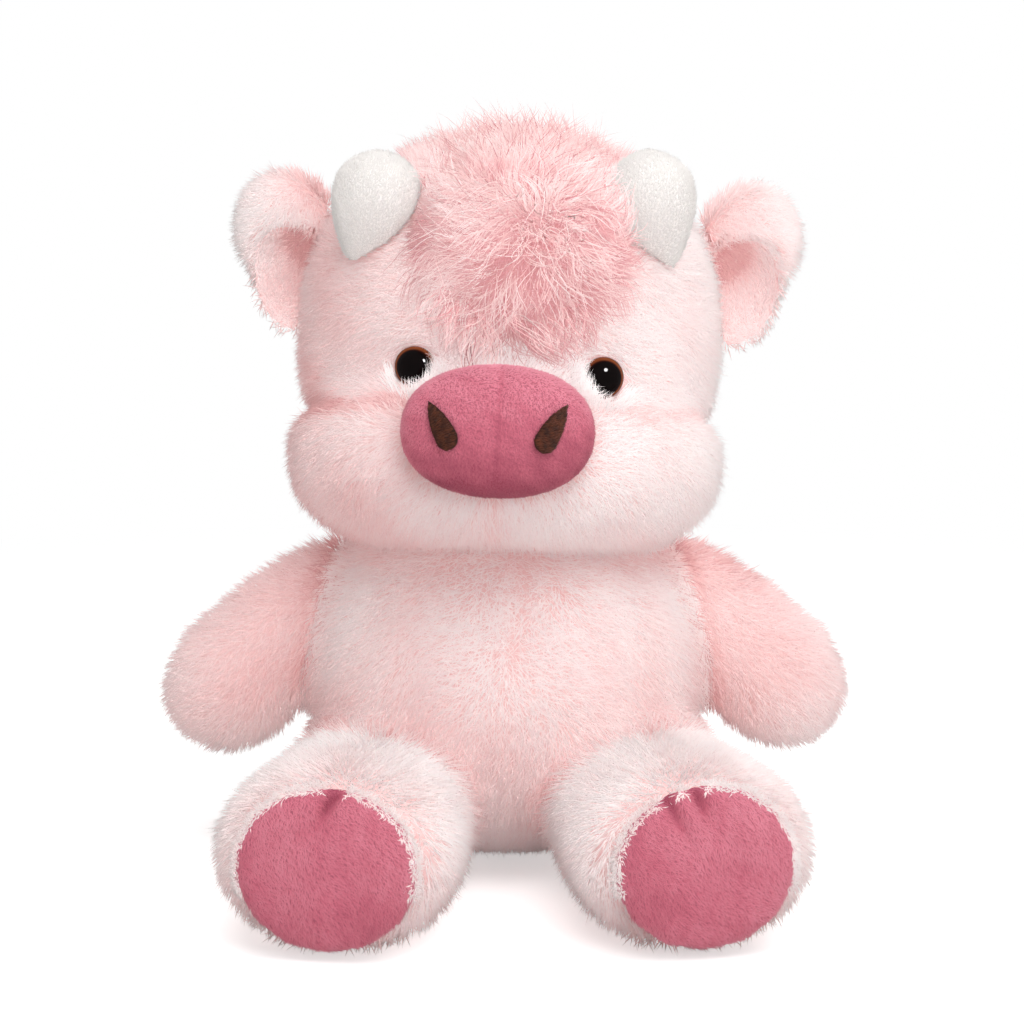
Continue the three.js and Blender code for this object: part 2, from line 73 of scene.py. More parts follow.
camera = bpy.data.objects.new("camera", bpy.data.cameras.new("camera"))
bpy.context.scene.collection.objects.link(camera)
camera.data.sensor_width = SENSOR
camera.data.lens = LENS
level = math.cos(RISE)
camera_way = Vector((math.sin(TURN) * level, -math.cos(TURN) * level, math.sin(RISE)))
camera.location = AIM + DISTANCE * camera_way
camera.rotation_euler = (math.pi / 2 - RISE, 0, TURN)
bpy.context.scene.camera = camera
print("camera at", [round(x, 3) for x in camera.location])

# %% [markdown]
# ## Floor and light
# A studio sweep is white paper under soft light. The paper's colour is lifted for the camera
# alone, so the background turns white while the toy keeps a plain level of light, and the
# toy's own shadow stays on the floor.

# %% Helpers for objects and materials


def new_object(name, mesh, material):
    obj = bpy.data.objects.new(name, mesh)
    bpy.context.scene.collection.objects.link(obj)
    mesh.materials.append(material)
    return obj


def mesh_from(bm, name):
    mesh = bpy.data.meshes.new(name)
    bm.to_mesh(mesh)
    bm.free()
    return mesh


def linear(code):
    """A colour as written on a screen, such as #ffcccc, as the numbers that Blender mixes."""
    parts = [int(code[i : i + 2], 16) / 255 for i in (1, 3, 5)]
    return [p / 12.92 if p <= 0.04045 else ((p + 0.055) / 1.055) ** 2.4 for p in parts] + [1]


def new_material(name, finish):
    """A material whose shader has these plain numbers on its sockets."""
    material = bpy.data.materials.new(name)
    material.use_nodes = True
    nodes, links = material.node_tree.nodes, material.node_tree.links
    shader = nodes["Principled BSDF"]
    for socket, value in finish.items():
        shader.inputs[socket].default_value = value
    return material, nodes, links, shader


# %% Paper floor
FLOOR_WIDE = 12
PAPER_NEAR, PAPER_FAR = 0.3, 0.75
PAPER_LIFT = 0.48
PAPER_LIT, PAPER_SEEN = (0.8, 0.79, 0.785, 1), (1.3, 1.29, 1.285, 1)


def light_seen(nodes, links):
    """1 for rays that show the background: straight from the camera, mirrored or through glass."""
    path = nodes.new("ShaderNodeLightPath")
    seen = path.outputs["Is Camera Ray"]
    for kind in ("Is Glossy Ray", "Is Transmission Ray"):
        most = nodes.new("ShaderNodeMath")
        most.operation = "MAXIMUM"
        links.new(seen, most.inputs[0])
        links.new(path.outputs[kind], most.inputs[1])
        seen = most.outputs[0]
    return seen


def paper():
    """White paper that keeps the shadow near the toy, and is plain white further away."""
    material, nodes, links, shader = new_material("paper", {"Roughness": 1, "Specular IOR Level": 0})
    seen = light_seen(nodes, links)
    colour = nodes.new("ShaderNodeMix")
    colour.data_type = "RGBA"
    colour.clamp_result = False
    colour.inputs["A"].default_value = PAPER_LIT
    colour.inputs["B"].default_value = PAPER_SEEN
    links.new(seen, colour.inputs["Factor"])
    links.new(colour.outputs["Result"], shader.inputs["Base Color"])
    place = nodes.new("ShaderNodeTexCoord")
    away = nodes.new("ShaderNodeVectorMath")
    away.operation = "LENGTH"
    links.new(place.outputs["Object"], away.inputs[0])
    fade = nodes.new("ShaderNodeMapRange")
    fade.interpolation_type = "SMOOTHSTEP"
    fade.inputs["From Min"].default_value = PAPER_NEAR
    fade.inputs["From Max"].default_value = PAPER_FAR
    fade.inputs["To Min"].default_value = PAPER_LIFT
    links.new(away.outputs["Value"], fade.inputs["Value"])
    factor = nodes.new("ShaderNodeMath")
    factor.operation = "MULTIPLY"
    links.new(seen, factor.inputs[0])
    links.new(fade.outputs["Result"], factor.inputs[1])
    white = nodes.new("ShaderNodeEmission")
    both = nodes.new("ShaderNodeMixShader")
    links.new(factor.outputs[0], both.inputs["Fac"])
    links.new(shader.outputs["BSDF"], both.inputs[1])
    links.new(white.outputs["Emission"], both.inputs[2])
    links.new(both.outputs["Shader"], nodes["Material Output"].inputs["Surface"])
    return material


bm = bmesh.new()
bmesh.ops.create_grid(bm, x_segments=1, y_segments=1, size=FLOOR_WIDE / 2)
floor = new_object("floor", mesh_from(bm, "floor"), paper())
print("floor", FLOOR_WIDE, "m wide")

# %% World and lamps
SKY_LIGHT, SKY_SEEN = 0.42, 1

world = bpy.data.worlds.new("studio")
bpy.context.scene.world = world
world.use_nodes = True
sky_nodes, sky_links = world.node_tree.nodes, world.node_tree.links
sky = sky_nodes["Background"]
sky.inputs["Color"].default_value = (1, 1, 1, 1)
strength = sky_nodes.new("ShaderNodeMapRange")
strength.inputs["To Min"].default_value = SKY_LIGHT
strength.inputs["To Max"].default_value = SKY_SEEN
sky_links.new(light_seen(sky_nodes, sky_links), strength.inputs["Value"])
sky_links.new(strength.outputs["Result"], sky.inputs["Strength"])


def lamp(name, azimuth, elevation, distance, size, power, colour=(1, 1, 1)):
    """A round softbox. Its azimuth is to the right of the toy's front and its elevation above it,
    in degrees. Distance and size are in metres and power is in watts."""
    data = bpy.data.lights.new(name, "AREA")
    data.shape = "DISK"
    data.size = size
    data.energy = power
    data.color = colour
    obj = bpy.data.objects.new(name, data)
    bpy.context.scene.collection.objects.link(obj)
    a, e = math.radians(azimuth), math.radians(elevation)
    towards = Vector((math.sin(a) * math.cos(e), -math.cos(a) * math.cos(e), math.sin(e)))
    obj.location = AIM + distance * towards
    obj.rotation_euler = towards.to_track_quat("Z", "Y").to_euler()
    obj.visible_glossy = False
    return obj


lamp("key", azimuth=28, elevation=24, distance=2.0, size=0.5, power=6.8)
lamp("top", azimuth=20, elevation=62, distance=2.2, size=1.6, power=36)
lamp("fill", azimuth=-50, elevation=22, distance=2.5, size=1.6, power=1.6, colour=(1, 0.94, 0.93))
lamp("front", azimuth=-8, elevation=2, distance=2.6, size=1.8, power=5.5, colour=(1, 0.965, 0.96))
lamp("left_rim", azimuth=-112, elevation=8, distance=2.6, size=1.8, power=16, colour=(1, 0.95, 0.94))
lamp("right_rim", azimuth=112, elevation=8, distance=2.6, size=1.8, power=15, colour=(1, 0.96, 0.95))
lamp("back", azimuth=180, elevation=38, distance=2.6, size=1.8, power=14)
catchlight = lamp("catchlight", azimuth=28, elevation=30, distance=2.0, size=0.5, power=170)
catchlight.visible_diffuse = False
catchlight.visible_glossy = True
bpy.context.scene.view_settings.view_transform = "Standard"
print("lamps:", len(bpy.data.lights))

# %% [markdown]
# ## Stuffed forms
# Under the pile, a plush toy is a bag of knitted cloth pulled tight by its stuffing. Each form
# here starts as a copy of a cover and its stuffing, is rebuilt as one even skin by a voxel
# remesh, and is drawn in by half the length of the pile that will stand on it. Where it is sewn
# to a neighbour it isn't drawn in, so no slit opens at the seam.

# %% Helpers for forms


def applied(obj):
    """Bakes an object's modifiers into its mesh."""
    graph = bpy.context.evaluated_depsgraph_get()
    mesh = bpy.data.meshes.new_from_object(obj.evaluated_get(graph))
    obj.modifiers.clear()
    old, obj.data = obj.data, mesh
    bpy.data.meshes.remove(old)


def outermost(bm):
    """Deletes all but the largest of the closed surfaces."""
    islands, done = [], set()
    for start in bm.verts:
        if start in done:
            continue
        island, todo = [], [start]
        done.add(start)
        while todo:
            vert = todo.pop()
            island.append(vert)
            for edge in vert.link_edges:
                other = edge.other_vert(vert)
                if other not in done:
                    done.add(other)
                    todo.append(other)
        islands.append(island)
    islands.sort(key=len)
    for island in islands[:-1]:
        bmesh.ops.delete(bm, geom=island, context="VERTS")


def tree_of(*meshes):
    """One search tree over several meshes."""
    bm = bmesh.new()
    for mesh in meshes:
        bm.from_mesh(mesh)
    tree = BVHTree.FromBMesh(bm)
    bm.free()
    return tree


def solids_tree(*names):
    return tree_of(*(frame["nodes"][name].data for name in names))


def ease(x):
    x = min(max(x, 0), 1)
    return x * x * (3 - 2 * x)


# %% Make a stuffed form from its solids
SEWN_NEAR, SEWN_FAR = 1.5 * MM, 9 * MM
SAME_POINT = 0.001 * MM


def stuffed(name, solids, material, voxel, inset, rounds, sewn_to=()):
    """A form of these solids. Its voxels and its inset are in millimetres, and it is smoothed for
    this many rounds."""
    bm = bmesh.new()
    for solid in solids:
        bm.from_mesh(frame["nodes"][solid].data)
    bmesh.ops.remove_doubles(bm, verts=bm.verts[:], dist=SAME_POINT)
    obj = new_object(name, mesh_from(bm, name), material)
    remesh = obj.modifiers.new("even", "REMESH")
    remesh.mode = "VOXEL"
    remesh.voxel_size = voxel * MM
    applied(obj)
    bm = bmesh.new()
    bm.from_mesh(obj.data)
    outermost(bm)
    axes = {"use_axis_x": True, "use_axis_y": True, "use_axis_z": True}
    for _ in range(rounds):
        bmesh.ops.smooth_vert(bm, verts=bm.verts[:], factor=0.5, **axes)
    bm.normal_update()
    neighbours = solids_tree(*sewn_to) if sewn_to else None
    for vert in bm.verts:
        share = 1
        if neighbours:
            gap = neighbours.find_nearest(vert.co)[3]
            share = ease((gap - SEWN_NEAR) / (SEWN_FAR - SEWN_NEAR))
        vert.co -= vert.normal * inset * MM * share
    for face in bm.faces:
        face.smooth = True
    bm.to_mesh(obj.data)
    bm.free()
    obj.data.update()
    print(name, len(obj.data.polygons), "faces")
    return obj


# %% [markdown]
# ## One hair, planted many times
# A hair is modelled once: a ball with three sides, to be pulled out long, so that it is closed
# and has only six faces. Numpy then plants copies of it on a form. Each copy gets a root on the
# skin, a lean along the way that the pile is combed, a bend towards its tip and a tint. A hair's
# normals are a mix of its own and the skin's: the more of the skin's, the more the pile is
# shaded as one soft surface. Real pile lets light through, so the hairs neither shade nor darken
# each other: only the form under them does.

# %% A hair and a spike
AT_POLE = 0.999


def arrays(bm):
    """A small mesh as numpy arrays: its points and its triangles."""
    bmesh.ops.triangulate(bm, faces=bm.faces[:])
    bmesh.ops.remove_doubles(bm, verts=bm.verts[:], dist=1e-6)
    bm.verts.index_update()
    points = np.array([v.co[:] for v in bm.verts])
    triangles = np.array([[v.index for v in f.verts] for f in bm.faces])
    bm.free()
    return points, triangles


def hair(rings):
    """A hair with rings of three points: how far each lies along it and which way out from it."""
    bm = bmesh.new()
    bmesh.ops.create_uvsphere(bm, u_segments=3, v_segments=rings + 1, radius=1)
    points, triangles = arrays(bm)
    along = 1 - np.arccos(np.clip(points[:, 2], -1, 1)) / math.pi
    flat = points[:, :2]
    round_about = flat / np.maximum(np.linalg.norm(flat, axis=1, keepdims=True), 1e-6)
    round_about[np.abs(points[:, 2]) > AT_POLE] = 0
    return along, round_about, triangles


def spike():
    """A short straight hair: a cone with three sides and four faces."""
    bm = bmesh.new()
    bmesh.ops.create_cone(bm, cap_ends=True, segments=3, radius1=1, radius2=0, depth=1)
    points, triangles = arrays(bm)
    return points[:, 2] + 0.5, points[:, :2], triangles


PILE_HAIR, CURLY_HAIR, LOCK_HAIR = hair(1), hair(3), hair(6)
NAP_HAIR = spike()
print("faces of a hair:", [len(shape[2]) for shape in (PILE_HAIR, CURLY_HAIR, LOCK_HAIR, NAP_HAIR)])

# %% Roots on a form


def unit(vectors):
    return vectors / np.maximum(np.linalg.norm(vectors, axis=-1, keepdims=True), 1e-12)


def dot(ways, others):
    return np.einsum("nj,nj->n", ways, others)


def tangent(ways, normals):
    """The part of each direction that lies along the skin."""
    return unit(ways - normals * dot(ways, normals)[:, None])


def threes(items, what, kind):
    """The three numbers that each of a mesh's items holds under this name."""
    values = np.empty(len(items) * 3, kind)
    items.foreach_get(what, values)
    return values.reshape(-1, 3)


def skin_points(obj, per_mm2, rng):
    """Evenly scattered points on a mesh, with its smooth normals."""
    mesh = obj.data
    mesh.calc_loop_triangles()
    corners = threes(mesh.loop_triangles, "vertices", np.int32)
    co = threes(mesh.vertices, "co", np.float32).astype(float)
    normals = threes(mesh.vertex_normals, "vector", np.float32).astype(float)
    a, b, c = (co[corners[:, k]] for k in range(3))
    area = np.linalg.norm(np.cross(b - a, c - a), axis=1) / 2
    count = int(area.sum() / MM**2 * per_mm2)
    share = (np.arange(count) + rng.random(count)) / count
    pick = np.searchsorted(np.cumsum(area) / area.sum(), share).clip(0, len(area) - 1)
    weights = np.sort(rng.random((count, 2)), axis=1)
    weights = np.stack([weights[:, 0], weights[:, 1] - weights[:, 0], 1 - weights[:, 1]], 1)
    points = np.einsum("nk,nkj->nj", weights, co[corners[pick]])
    return points, unit(np.einsum("nk,nkj->nj", weights, normals[corners[pick]]))


# %% Tufts
RIPPLE_WAVES, RIPPLE_HIGH = 5, 2.2
RIPPLE_SPREAD = (0.6, 1.5)
TUFT_WARP, TUFT_WARP_WIDE = 0.7, 2.5


def ripple(points, scale, seed):
    """A smooth random field, about -1 to 1, that changes over this length in millimetres."""
    rng = np.random.default_rng(seed)
    total = np.zeros(len(points))
    for _ in range(RIPPLE_WAVES):
        way = unit(rng.normal(size=3)) * 2 * math.pi / (scale * MM) * rng.uniform(*RIPPLE_SPREAD)
        total += np.sin(points @ way + rng.uniform(0, 2 * math.pi))
    return total / RIPPLE_HIGH


def ripples(points, scale, seed):
    """A smooth random direction at each point."""
    return np.stack([ripple(points, scale, seed + k) for k in range(3)], 1)


def clump(points, tips, size, pull, seed):
    """Draws the tips of neighbouring hairs together into tufts."""
    warp = ripples(points, TUFT_WARP_WIDE * size, seed)
    cells = np.floor(points / (size * MM) + TUFT_WARP * warp).astype(int)
    _, group = np.unique(cells, axis=0, return_inverse=True)
    group = group.ravel()
    count = np.bincount(group)
    middle = np.stack([np.bincount(group, tips[:, k]) / count for k in range(3)], 1)[group]
    return tips + pull * (middle - tips)


# %% Plant hairs
UV_WIDTH = 0.02
CURL_SHARED, CURL_STARTS = 9, 0.4
CURL_TURNS, CURL_HIGH = (0.8, 1.1), 0.4
TIP_SHADE = 0.25
FLOOR_CLEAR = 0.3 * MM


def hair_mesh(name, verts, corners, uv, shade):
    """All the hairs as one mesh, with their own map and their own normals."""
    mesh = bpy.data.meshes.new(name)
    mesh.vertices.add(len(verts))
    mesh.vertices.foreach_set("co", verts.astype(np.float32).ravel())
    mesh.loops.add(len(corners))
    mesh.loops.foreach_set("vertex_index", corners.astype(np.int32))
    mesh.polygons.add(len(corners) // 3)
    mesh.polygons.foreach_set("loop_start", np.arange(0, len(corners), 3, dtype=np.int32))
    layer = mesh.uv_layers.new(name="OFBake")
    layer.uv.foreach_set("vector", uv[corners].astype(np.float32).ravel())
    mesh.update()
    mesh.polygons.foreach_set("use_smooth", np.ones(len(mesh.polygons), bool))
    free = mesh.attributes.new("custom_normal", "FLOAT_VECTOR", "POINT")
    free.data.foreach_set("vector", shade.astype(np.float32).ravel())
    return mesh


def plant(name, roots, normals, combed, length, width, lean, bend, tint, material, seed,
          shape=PILE_HAIR, tuft=(2.5, 0.25), soft=0.15, curl=0, hug=0):
    """Plants one hair on each root. Lengths, leans and tints may differ from hair to hair. Halfway
    up a hair its sides lie one width off its middle, and at its tip they meet. Soft is the skin's
    share of the normals, and hug draws the tips down to the skin."""
    rng = np.random.default_rng(seed)
    count = len(roots)
    along, round_about, triangles = shape
    flat = tangent(combed, normals)
    way = unit(normals * np.cos(lean)[:, None] + flat * np.sin(lean)[:, None])
    length = length[:, None]
    tips = roots + length * (way + bend[:, None] * flat - hug * normals)
    tips = clump(roots, tips, *tuft, seed)
    curve = (tips - roots) / length - way
    chord = unit(tips - roots)
    side = unit(np.cross(chord, rng.normal(size=(count, 3))))
    other = np.cross(chord, side)
    t = along[None, :, None]
    middle = roots[:, None] + length[:, None] * (t * way[:, None] + t * t * curve[:, None])
    if curl:
        start = math.pi * ripple(roots, CURL_SHARED, seed + 9) + rng.normal(0, CURL_STARTS, count)
        turn = 2 * math.pi * rng.uniform(*CURL_TURNS, (count, 1, 1)) * t + start[:, None, None]
        sideways = np.cross(normals, flat)
        wave = np.sin(turn) * sideways[:, None] + CURL_HIGH * np.cos(turn) * normals[:, None]
        middle = middle + curl * length[:, None] * t * wave
    thick = width[:, None, None] * np.sqrt(np.clip(1 - t, 0, 1)) * np.sqrt(2)
    out = round_about[None, :, :1] * side[:, None] + round_about[None, :, 1:] * other[:, None]
    verts = middle + thick * out
    verts[..., 2] = np.maximum(verts[..., 2], FLOOR_CLEAR)
    shade = unit(soft * normals[:, None] + (1 - soft) * out + TIP_SHADE * t * way[:, None])
    per = len(along)
    corners = (triangles[None] + np.arange(count)[:, None, None] * per).reshape(-1)
    uv = np.empty((count, per, 2))
    uv[..., 0] = tint[:, None].clip(UV_WIDTH, 1 - UV_WIDTH) + UV_WIDTH * round_about[None, :, 0]
    uv[..., 1] = along[None]
    mesh = hair_mesh(name, verts.reshape(-1, 3), corners, uv.reshape(-1, 2), shade.reshape(-1, 3))
    obj = new_object(name, mesh, material)
    obj.visible_shadow = False
    obj.visible_diffuse = False
    print(name, count, "hairs,", len(mesh.polygons), "faces")
    return obj


# %% [markdown]
# ## The pile's colour
# The hairs are pinker at the root and paler at the tip, and whole areas of the toy are tinted,
# partly with painted shade in creases, under parts and on the side away from the light.
# Each hair holds its tint across its own map and runs from root to tip along it, so one small
# set of nodes colours every hair.

# %% Pile materials


def ramp(nodes, stops):
    node = nodes.new("ShaderNodeValToRGB")
    band = node.color_ramp
    band.elements[0].position, band.elements[0].color = stops[0][0], linear(stops[0][1])
    band.elements[1].position, band.elements[1].color = stops[-1][0], linear(stops[-1][1])
    for place, code in stops[1:-1]:
        band.elements.new(place).color = linear(code)
    return node


def pile(name, roots, tips, sheen=0.0):
    finish = {"Roughness": 0.9, "Specular IOR Level": 0, "Sheen Weight": sheen, "Sheen Roughness": 0.6}
    material, nodes, links, shader = new_material(name, finish)
    map_node = nodes.new("ShaderNodeUVMap")
    map_node.uv_map = "OFBake"
    split = nodes.new("ShaderNodeSeparateXYZ")
    links.new(map_node.outputs["UV"], split.inputs["Vector"])
    low, high = ramp(nodes, roots), ramp(nodes, tips)
    links.new(split.outputs["X"], low.inputs["Fac"])
    links.new(split.outputs["X"], high.inputs["Fac"])
    mix = nodes.new("ShaderNodeMix")
    mix.data_type = "RGBA"
    links.new(split.outputs["Y"], mix.inputs["Factor"])
    links.new(low.outputs["Color"], mix.inputs["A"])
    links.new(high.outputs["Color"], mix.inputs["B"])
    links.new(mix.outputs["Result"], shader.inputs["Base Color"])
    print(name, "with", len(roots), "tints")
    return material


LONG_PILE = pile(
    "long_pile",
    roots=[(0, "#fae8e6"), (0.45, "#f4d0ce"), (0.85, "#e9aeac"), (1, "#cf8686")],
    tips=[(0, "#fffaf9"), (0.45, "#fff0ef"), (0.85, "#fbd9d8"), (1, "#eab4b3")],
)
PINK_PILE = pile(
    "pink_pile",
    roots=[(0, "#f6cdcb"), (0.5, "#e09696"), (1, "#bb6066")],
    tips=[(0, "#fff6f5"), (0.5, "#fee6e4"), (1, "#eaa9ab")],
)
WHITE_NAP = pile(
    "white_nap",
    roots=[(0, "#e4e0dd"), (1, "#d3cdc9")],
    tips=[(0, "#f2f0ee"), (1, "#e3dfdc")],
)
ROSE_NAP = pile(
    "rose_nap",
    roots=[(0, "#d97a8c"), (0.5, "#bd5a6e"), (1, "#89384b")],
    tips=[(0, "#eda3b1"), (0.5, "#dd8193"), (1, "#ae5569")],
    sheen=0.1,
)
STITCHING = pile(
    "brown_thread",
    roots=[(0, "#3d1d14"), (1, "#200e09")],
    tips=[(0, "#6f3c26"), (1, "#331810")],
    sheen=0.1,
)

# %% [markdown]
# ## Knitted backing
# Between the hairs a little of the knitted backing shows. Fine waves raise the rows of its
# loops, and a noise flecks its colour.

# %% Backing materials
FLECKS, FLECK_DETAIL = 900, 3
KNIT_ROWS, KNIT_BENT = 260, 1.5
KNIT_STRENGTH, KNIT_DEEP = 0.3, 0.3 * MM


def backing(name, code, dark):
    material, nodes, links, shader = new_material(name, {"Roughness": 0.95, "Specular IOR Level": 0.1})
    place = nodes.new("ShaderNodeTexCoord")
    noise = nodes.new("ShaderNodeTexNoise")
    noise.inputs["Scale"].default_value = FLECKS
    noise.inputs["Detail"].default_value = FLECK_DETAIL
    links.new(place.outputs["Object"], noise.inputs["Vector"])
    colour = ramp(nodes, [(0.3, dark), (0.6, code)])
    links.new(noise.outputs["Fac"], colour.inputs["Fac"])
    links.new(colour.outputs["Color"], shader.inputs["Base Color"])
    weave = nodes.new("ShaderNodeTexWave")
    weave.inputs["Scale"].default_value = KNIT_ROWS
    weave.inputs["Distortion"].default_value = KNIT_BENT
    links.new(place.outputs["Object"], weave.inputs["Vector"])
    bump = nodes.new("ShaderNodeBump")
    bump.inputs["Strength"].default_value = KNIT_STRENGTH
    bump.inputs["Distance"].default_value = KNIT_DEEP
    links.new(weave.outputs["Fac"], bump.inputs["Height"])
    links.new(bump.outputs["Normal"], shader.inputs["Normal"])
    print(name, code)
    return material


PALE_BACKING = backing("pale_backing", "#f2cbc9", "#ebb9b7")
PINK_BACKING = backing("pink_backing", "#dc9a9a", "#cd8485")
EAR_BACKING = backing("ear_backing", "#f0c2c0", "#e8b3b1")
WHITE_BACKING = backing("white_backing", "#f3efec", "#e9e3df")
ROSE_BACKING = backing("rose_backing", "#b35c6e", "#a04e60")
THREAD_BACKING = backing("thread_backing", "#351a12", "#220f0a")

# %% [markdown]
# ## The forms of body, head and limbs
# All the forms are made before any hair is planted, because a hair needs to know which
# neighbours cover it. Those under the long pile are drawn in by half its length.

# %% Forms of the long pile
VOXEL = 3
INSET = 5
FORMS = {}


def padded_form(form, part, body, replaced):
    """Says what a form is: the body it rides on and the solids it stands for."""
    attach(form, body)
    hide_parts(*replaced)
    FORMS[part] = form


def long_form(part, covers, rounds, sewn_to):
    """A form under long pile. It stands for the stuffing, and the pile for the covers."""
    stuffing = f"{part}_stuffing"
    form = stuffed(f"{part}_filling", [*covers, stuffing], PALE_BACKING, VOXEL, INSET, rounds, sewn_to)
    padded_form(form, part, part, [stuffing])


TORSO_PANELS = ["torso_back_panel", "torso_front_left_panel", "torso_front_right_panel"]
HEAD_PANELS = ["head_cover", "muzzle_left_panel", "muzzle_right_panel"]
LIMBS = [f"{side}_{limb}" for side in SIDES for limb in ("arm", "leg")]
limb_covers = [f"{limb}_cover" for limb in LIMBS]
long_form("torso", TORSO_PANELS, rounds=28, sewn_to=[*HEAD_PANELS, *limb_covers])
long_form("head", HEAD_PANELS, rounds=9, sewn_to=TORSO_PANELS)
for limb in LIMBS:
    long_form(limb, [f"{limb}_cover"], rounds=10, sewn_to=TORSO_PANELS)

# %% [markdown]
# The small pieces have a shorter pile or a nap, so their skins are finer and are drawn in less.
# Each stands for all of its solids.

# %% Forms of the short pile


def short_form(name, body, solids, material, voxel, inset, rounds):
    form = stuffed(name, solids, material, voxel, inset, rounds)
    padded_form(form, name, body, solids)


for side in SIDES:
    ear, leg = f"{side}_ear", f"{side}_leg"
    horn = [f"{side}_horn_cover", f"{side}_horn_stuffing"]
    short_form(f"{side}_horn", "head", horn, WHITE_BACKING,
               voxel=1.7, inset=0.8, rounds=12)
    short_form(f"{ear}_back", ear, [f"{ear}_outer"], EAR_BACKING,
               voxel=2, inset=3, rounds=4)
    short_form(f"{ear}_inside", ear, [f"{ear}_lining"], PALE_BACKING,
               voxel=1.2, inset=0.4, rounds=3)
    short_form(f"{side}_pad", leg, [f"{side}_foot_pad"], ROSE_BACKING,
               voxel=1.5, inset=0.2, rounds=14)
    nostril = f"{side}_nostril"
    short_form(f"{nostril}_base", "head", [nostril], THREAD_BACKING,
               voxel=0.6, inset=0.2, rounds=2)
snout = ["snout_cover", "snout_stuffing"]
short_form("snout", "head", snout, ROSE_BACKING,
           voxel=1.2, inset=0.7, rounds=12)
short_form("forelock_base", "head", ["forelock"], PINK_BACKING,
           voxel=2.4, inset=3, rounds=4)
short_form("tail_filling", "tail", ["tail_sleeve"], PALE_BACKING,
           voxel=1.8, inset=3, rounds=4)
short_form("tail_tuft_base", "tail", ["tail_tuft"], PINK_BACKING,
           voxel=1.8, inset=3, rounds=4)

# %% [markdown]
# ## Gathers of the foot pads
# The foot pads are gathered where the cover's seam meets their upper edge. The gathers are
# pressed into the finished forms: points near a line move in along their normals.

# %% Places on the solids
JOINTS = {joint["name"]: joint for joint in frame["joints"]}


def joint_at(name):
    return np.array(JOINTS[name]["pos_m"])


def box_middle(node):
    low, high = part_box(node)
    return (np.array(low) + np.array(high)) / 2


def corners_of(node):
    """A solid's corner points, each once."""
    co = np.array([v.co[:] for v in frame["nodes"][node].data.vertices])
    return np.unique(co.round(7), axis=0)


# %% Press the gathers
GATHERS = {"left": [(83, 124)], "right": [(117, 130), (98, 84)]}
GATHER_HALF, GATHER_DEEP, GATHER_KEPT = 3 * MM, 5.5 * MM, 0.15
GATHER_FROM, GATHER_TO = 0.98, 0.38
PAD_GROOVES = {}


def bell(off, half, power=2):
    """1 at 0, falling away on both sides. A higher power keeps it flat for longer."""
    return np.exp(-((off / half) ** power))


def grooved(form, facing, grooves):
    """Presses grooves into the side of a form that faces one way. Each is a line from its deep end
    to its shallow one, with a half width, a depth, and the share of it kept at the shallow end."""
    mesh = form.data
    co = np.array([v.co[:] for v in mesh.vertices])
    normals = np.array([v.normal[:] for v in mesh.vertices])
    across = np.eye(3) - np.outer(facing, facing)
    flat = co @ across
    for start, end, half, depth, kept in grooves:
        run = (end - start) @ across
        share = ((flat - start @ across) @ run / (run @ run)).clip(0, 1)
        off = np.linalg.norm(flat - start @ across - share[:, None] * run, axis=1)
        press = depth * (1 - (1 - kept) * share) * bell(off, half)
        co -= normals * (press * np.sqrt((normals @ facing).clip(0, 1)))[:, None]
    mesh.vertices.foreach_set("co", co.astype(np.float32).ravel())
    mesh.update()


def pad_facing(side):
    """The way that a foot pad's sole looks: across its solid, where that is thinnest."""
    _, axes = np.linalg.eigh(np.cov(corners_of(f"{side}_foot_pad").T))
    return -np.sign(axes[1, 0]) * axes[:, 0]


def gather_pad(side):
    """Presses a pad's gathers, each from one angle on its oval to another, in degrees."""
    middle = box_middle(f"{side}_foot_pad")
    facing = pad_facing(side)
    u = unit(np.cross(UP, facing))
    v = np.cross(facing, u)
    points = corners_of(f"{side}_foot_pad") - middle
    half_u, half_v = np.abs(points @ u).max(), np.abs(points @ v).max()

    def on_oval(angle, share):
        a = math.radians(angle)
        return middle + share * (math.cos(a) * half_u * u + math.sin(a) * half_v * v)

    PAD_GROOVES[side] = [
        (on_oval(outer, GATHER_FROM), on_oval(inner, GATHER_TO), GATHER_HALF, GATHER_DEEP, GATHER_KEPT)
        for outer, inner in GATHERS[side]
    ]
    grooved(FORMS[f"{side}_pad"], facing, PAD_GROOVES[side])
    print(f"{side}_pad", len(GATHERS[side]), "gathers, facing", facing.round(3))


for side in SIDES:
    gather_pad(side)

# %% [markdown]
# ## The eyes
# A safety eye is a moulded button: a glossy dome, a rim and a shank through the cloth. A lathe
# makes that best, so its outline is spun about the axis on which the solid eye and its washer
# lie. Each point keeps its distance from the iris's middle, which colours pupil and iris.

# %% Eye plastic


def eye_plastic():
    finish = {"Roughness": 0.06, "Specular IOR Level": 0.05}
    material, nodes, links, shader = new_material("eye_plastic", finish)
    ring = nodes.new("ShaderNodeAttribute")
    ring.attribute_name = "ring"
    stops = [(0, "#080404"), (0.74, "#0b0505"), (0.79, "#2a110a"), (0.83, "#6b351d")]
    stops += [(0.9, "#7c4023"), (0.94, "#32150b"), (1, "#160906")]
    colour = ramp(nodes, stops)
    links.new(ring.outputs["Fac"], colour.inputs["Fac"])
    links.new(colour.outputs["Color"], shader.inputs["Base Color"])
    return material


EYE_PLASTIC = eye_plastic()
WASHER_PLASTIC = backing("washer_plastic", "#d8d5d0", "#cdc9c3")

# %% Eyes and washers
SHANK_R, SHANK_LONG = 2.2, 14
RIM_HIGH, RIM_CHAMFER = 1.5, 0.5
DOME_STEPS, EYE_STEPS = 15, 48
LID_WAYS = {"left": unit(np.array((0.18, 0, -0.98))), "right": unit(np.array((-0.53, 0, -0.85)))}
NOSE_WAYS = {"left": np.array((1.0, 0, 0)), "right": np.array((-1.0, 0, 0))}
IRIS_TO_NOSE, IRIS_UP, IRIS_WIDE = 0.08, 0.05, 1.05
EYES = {}


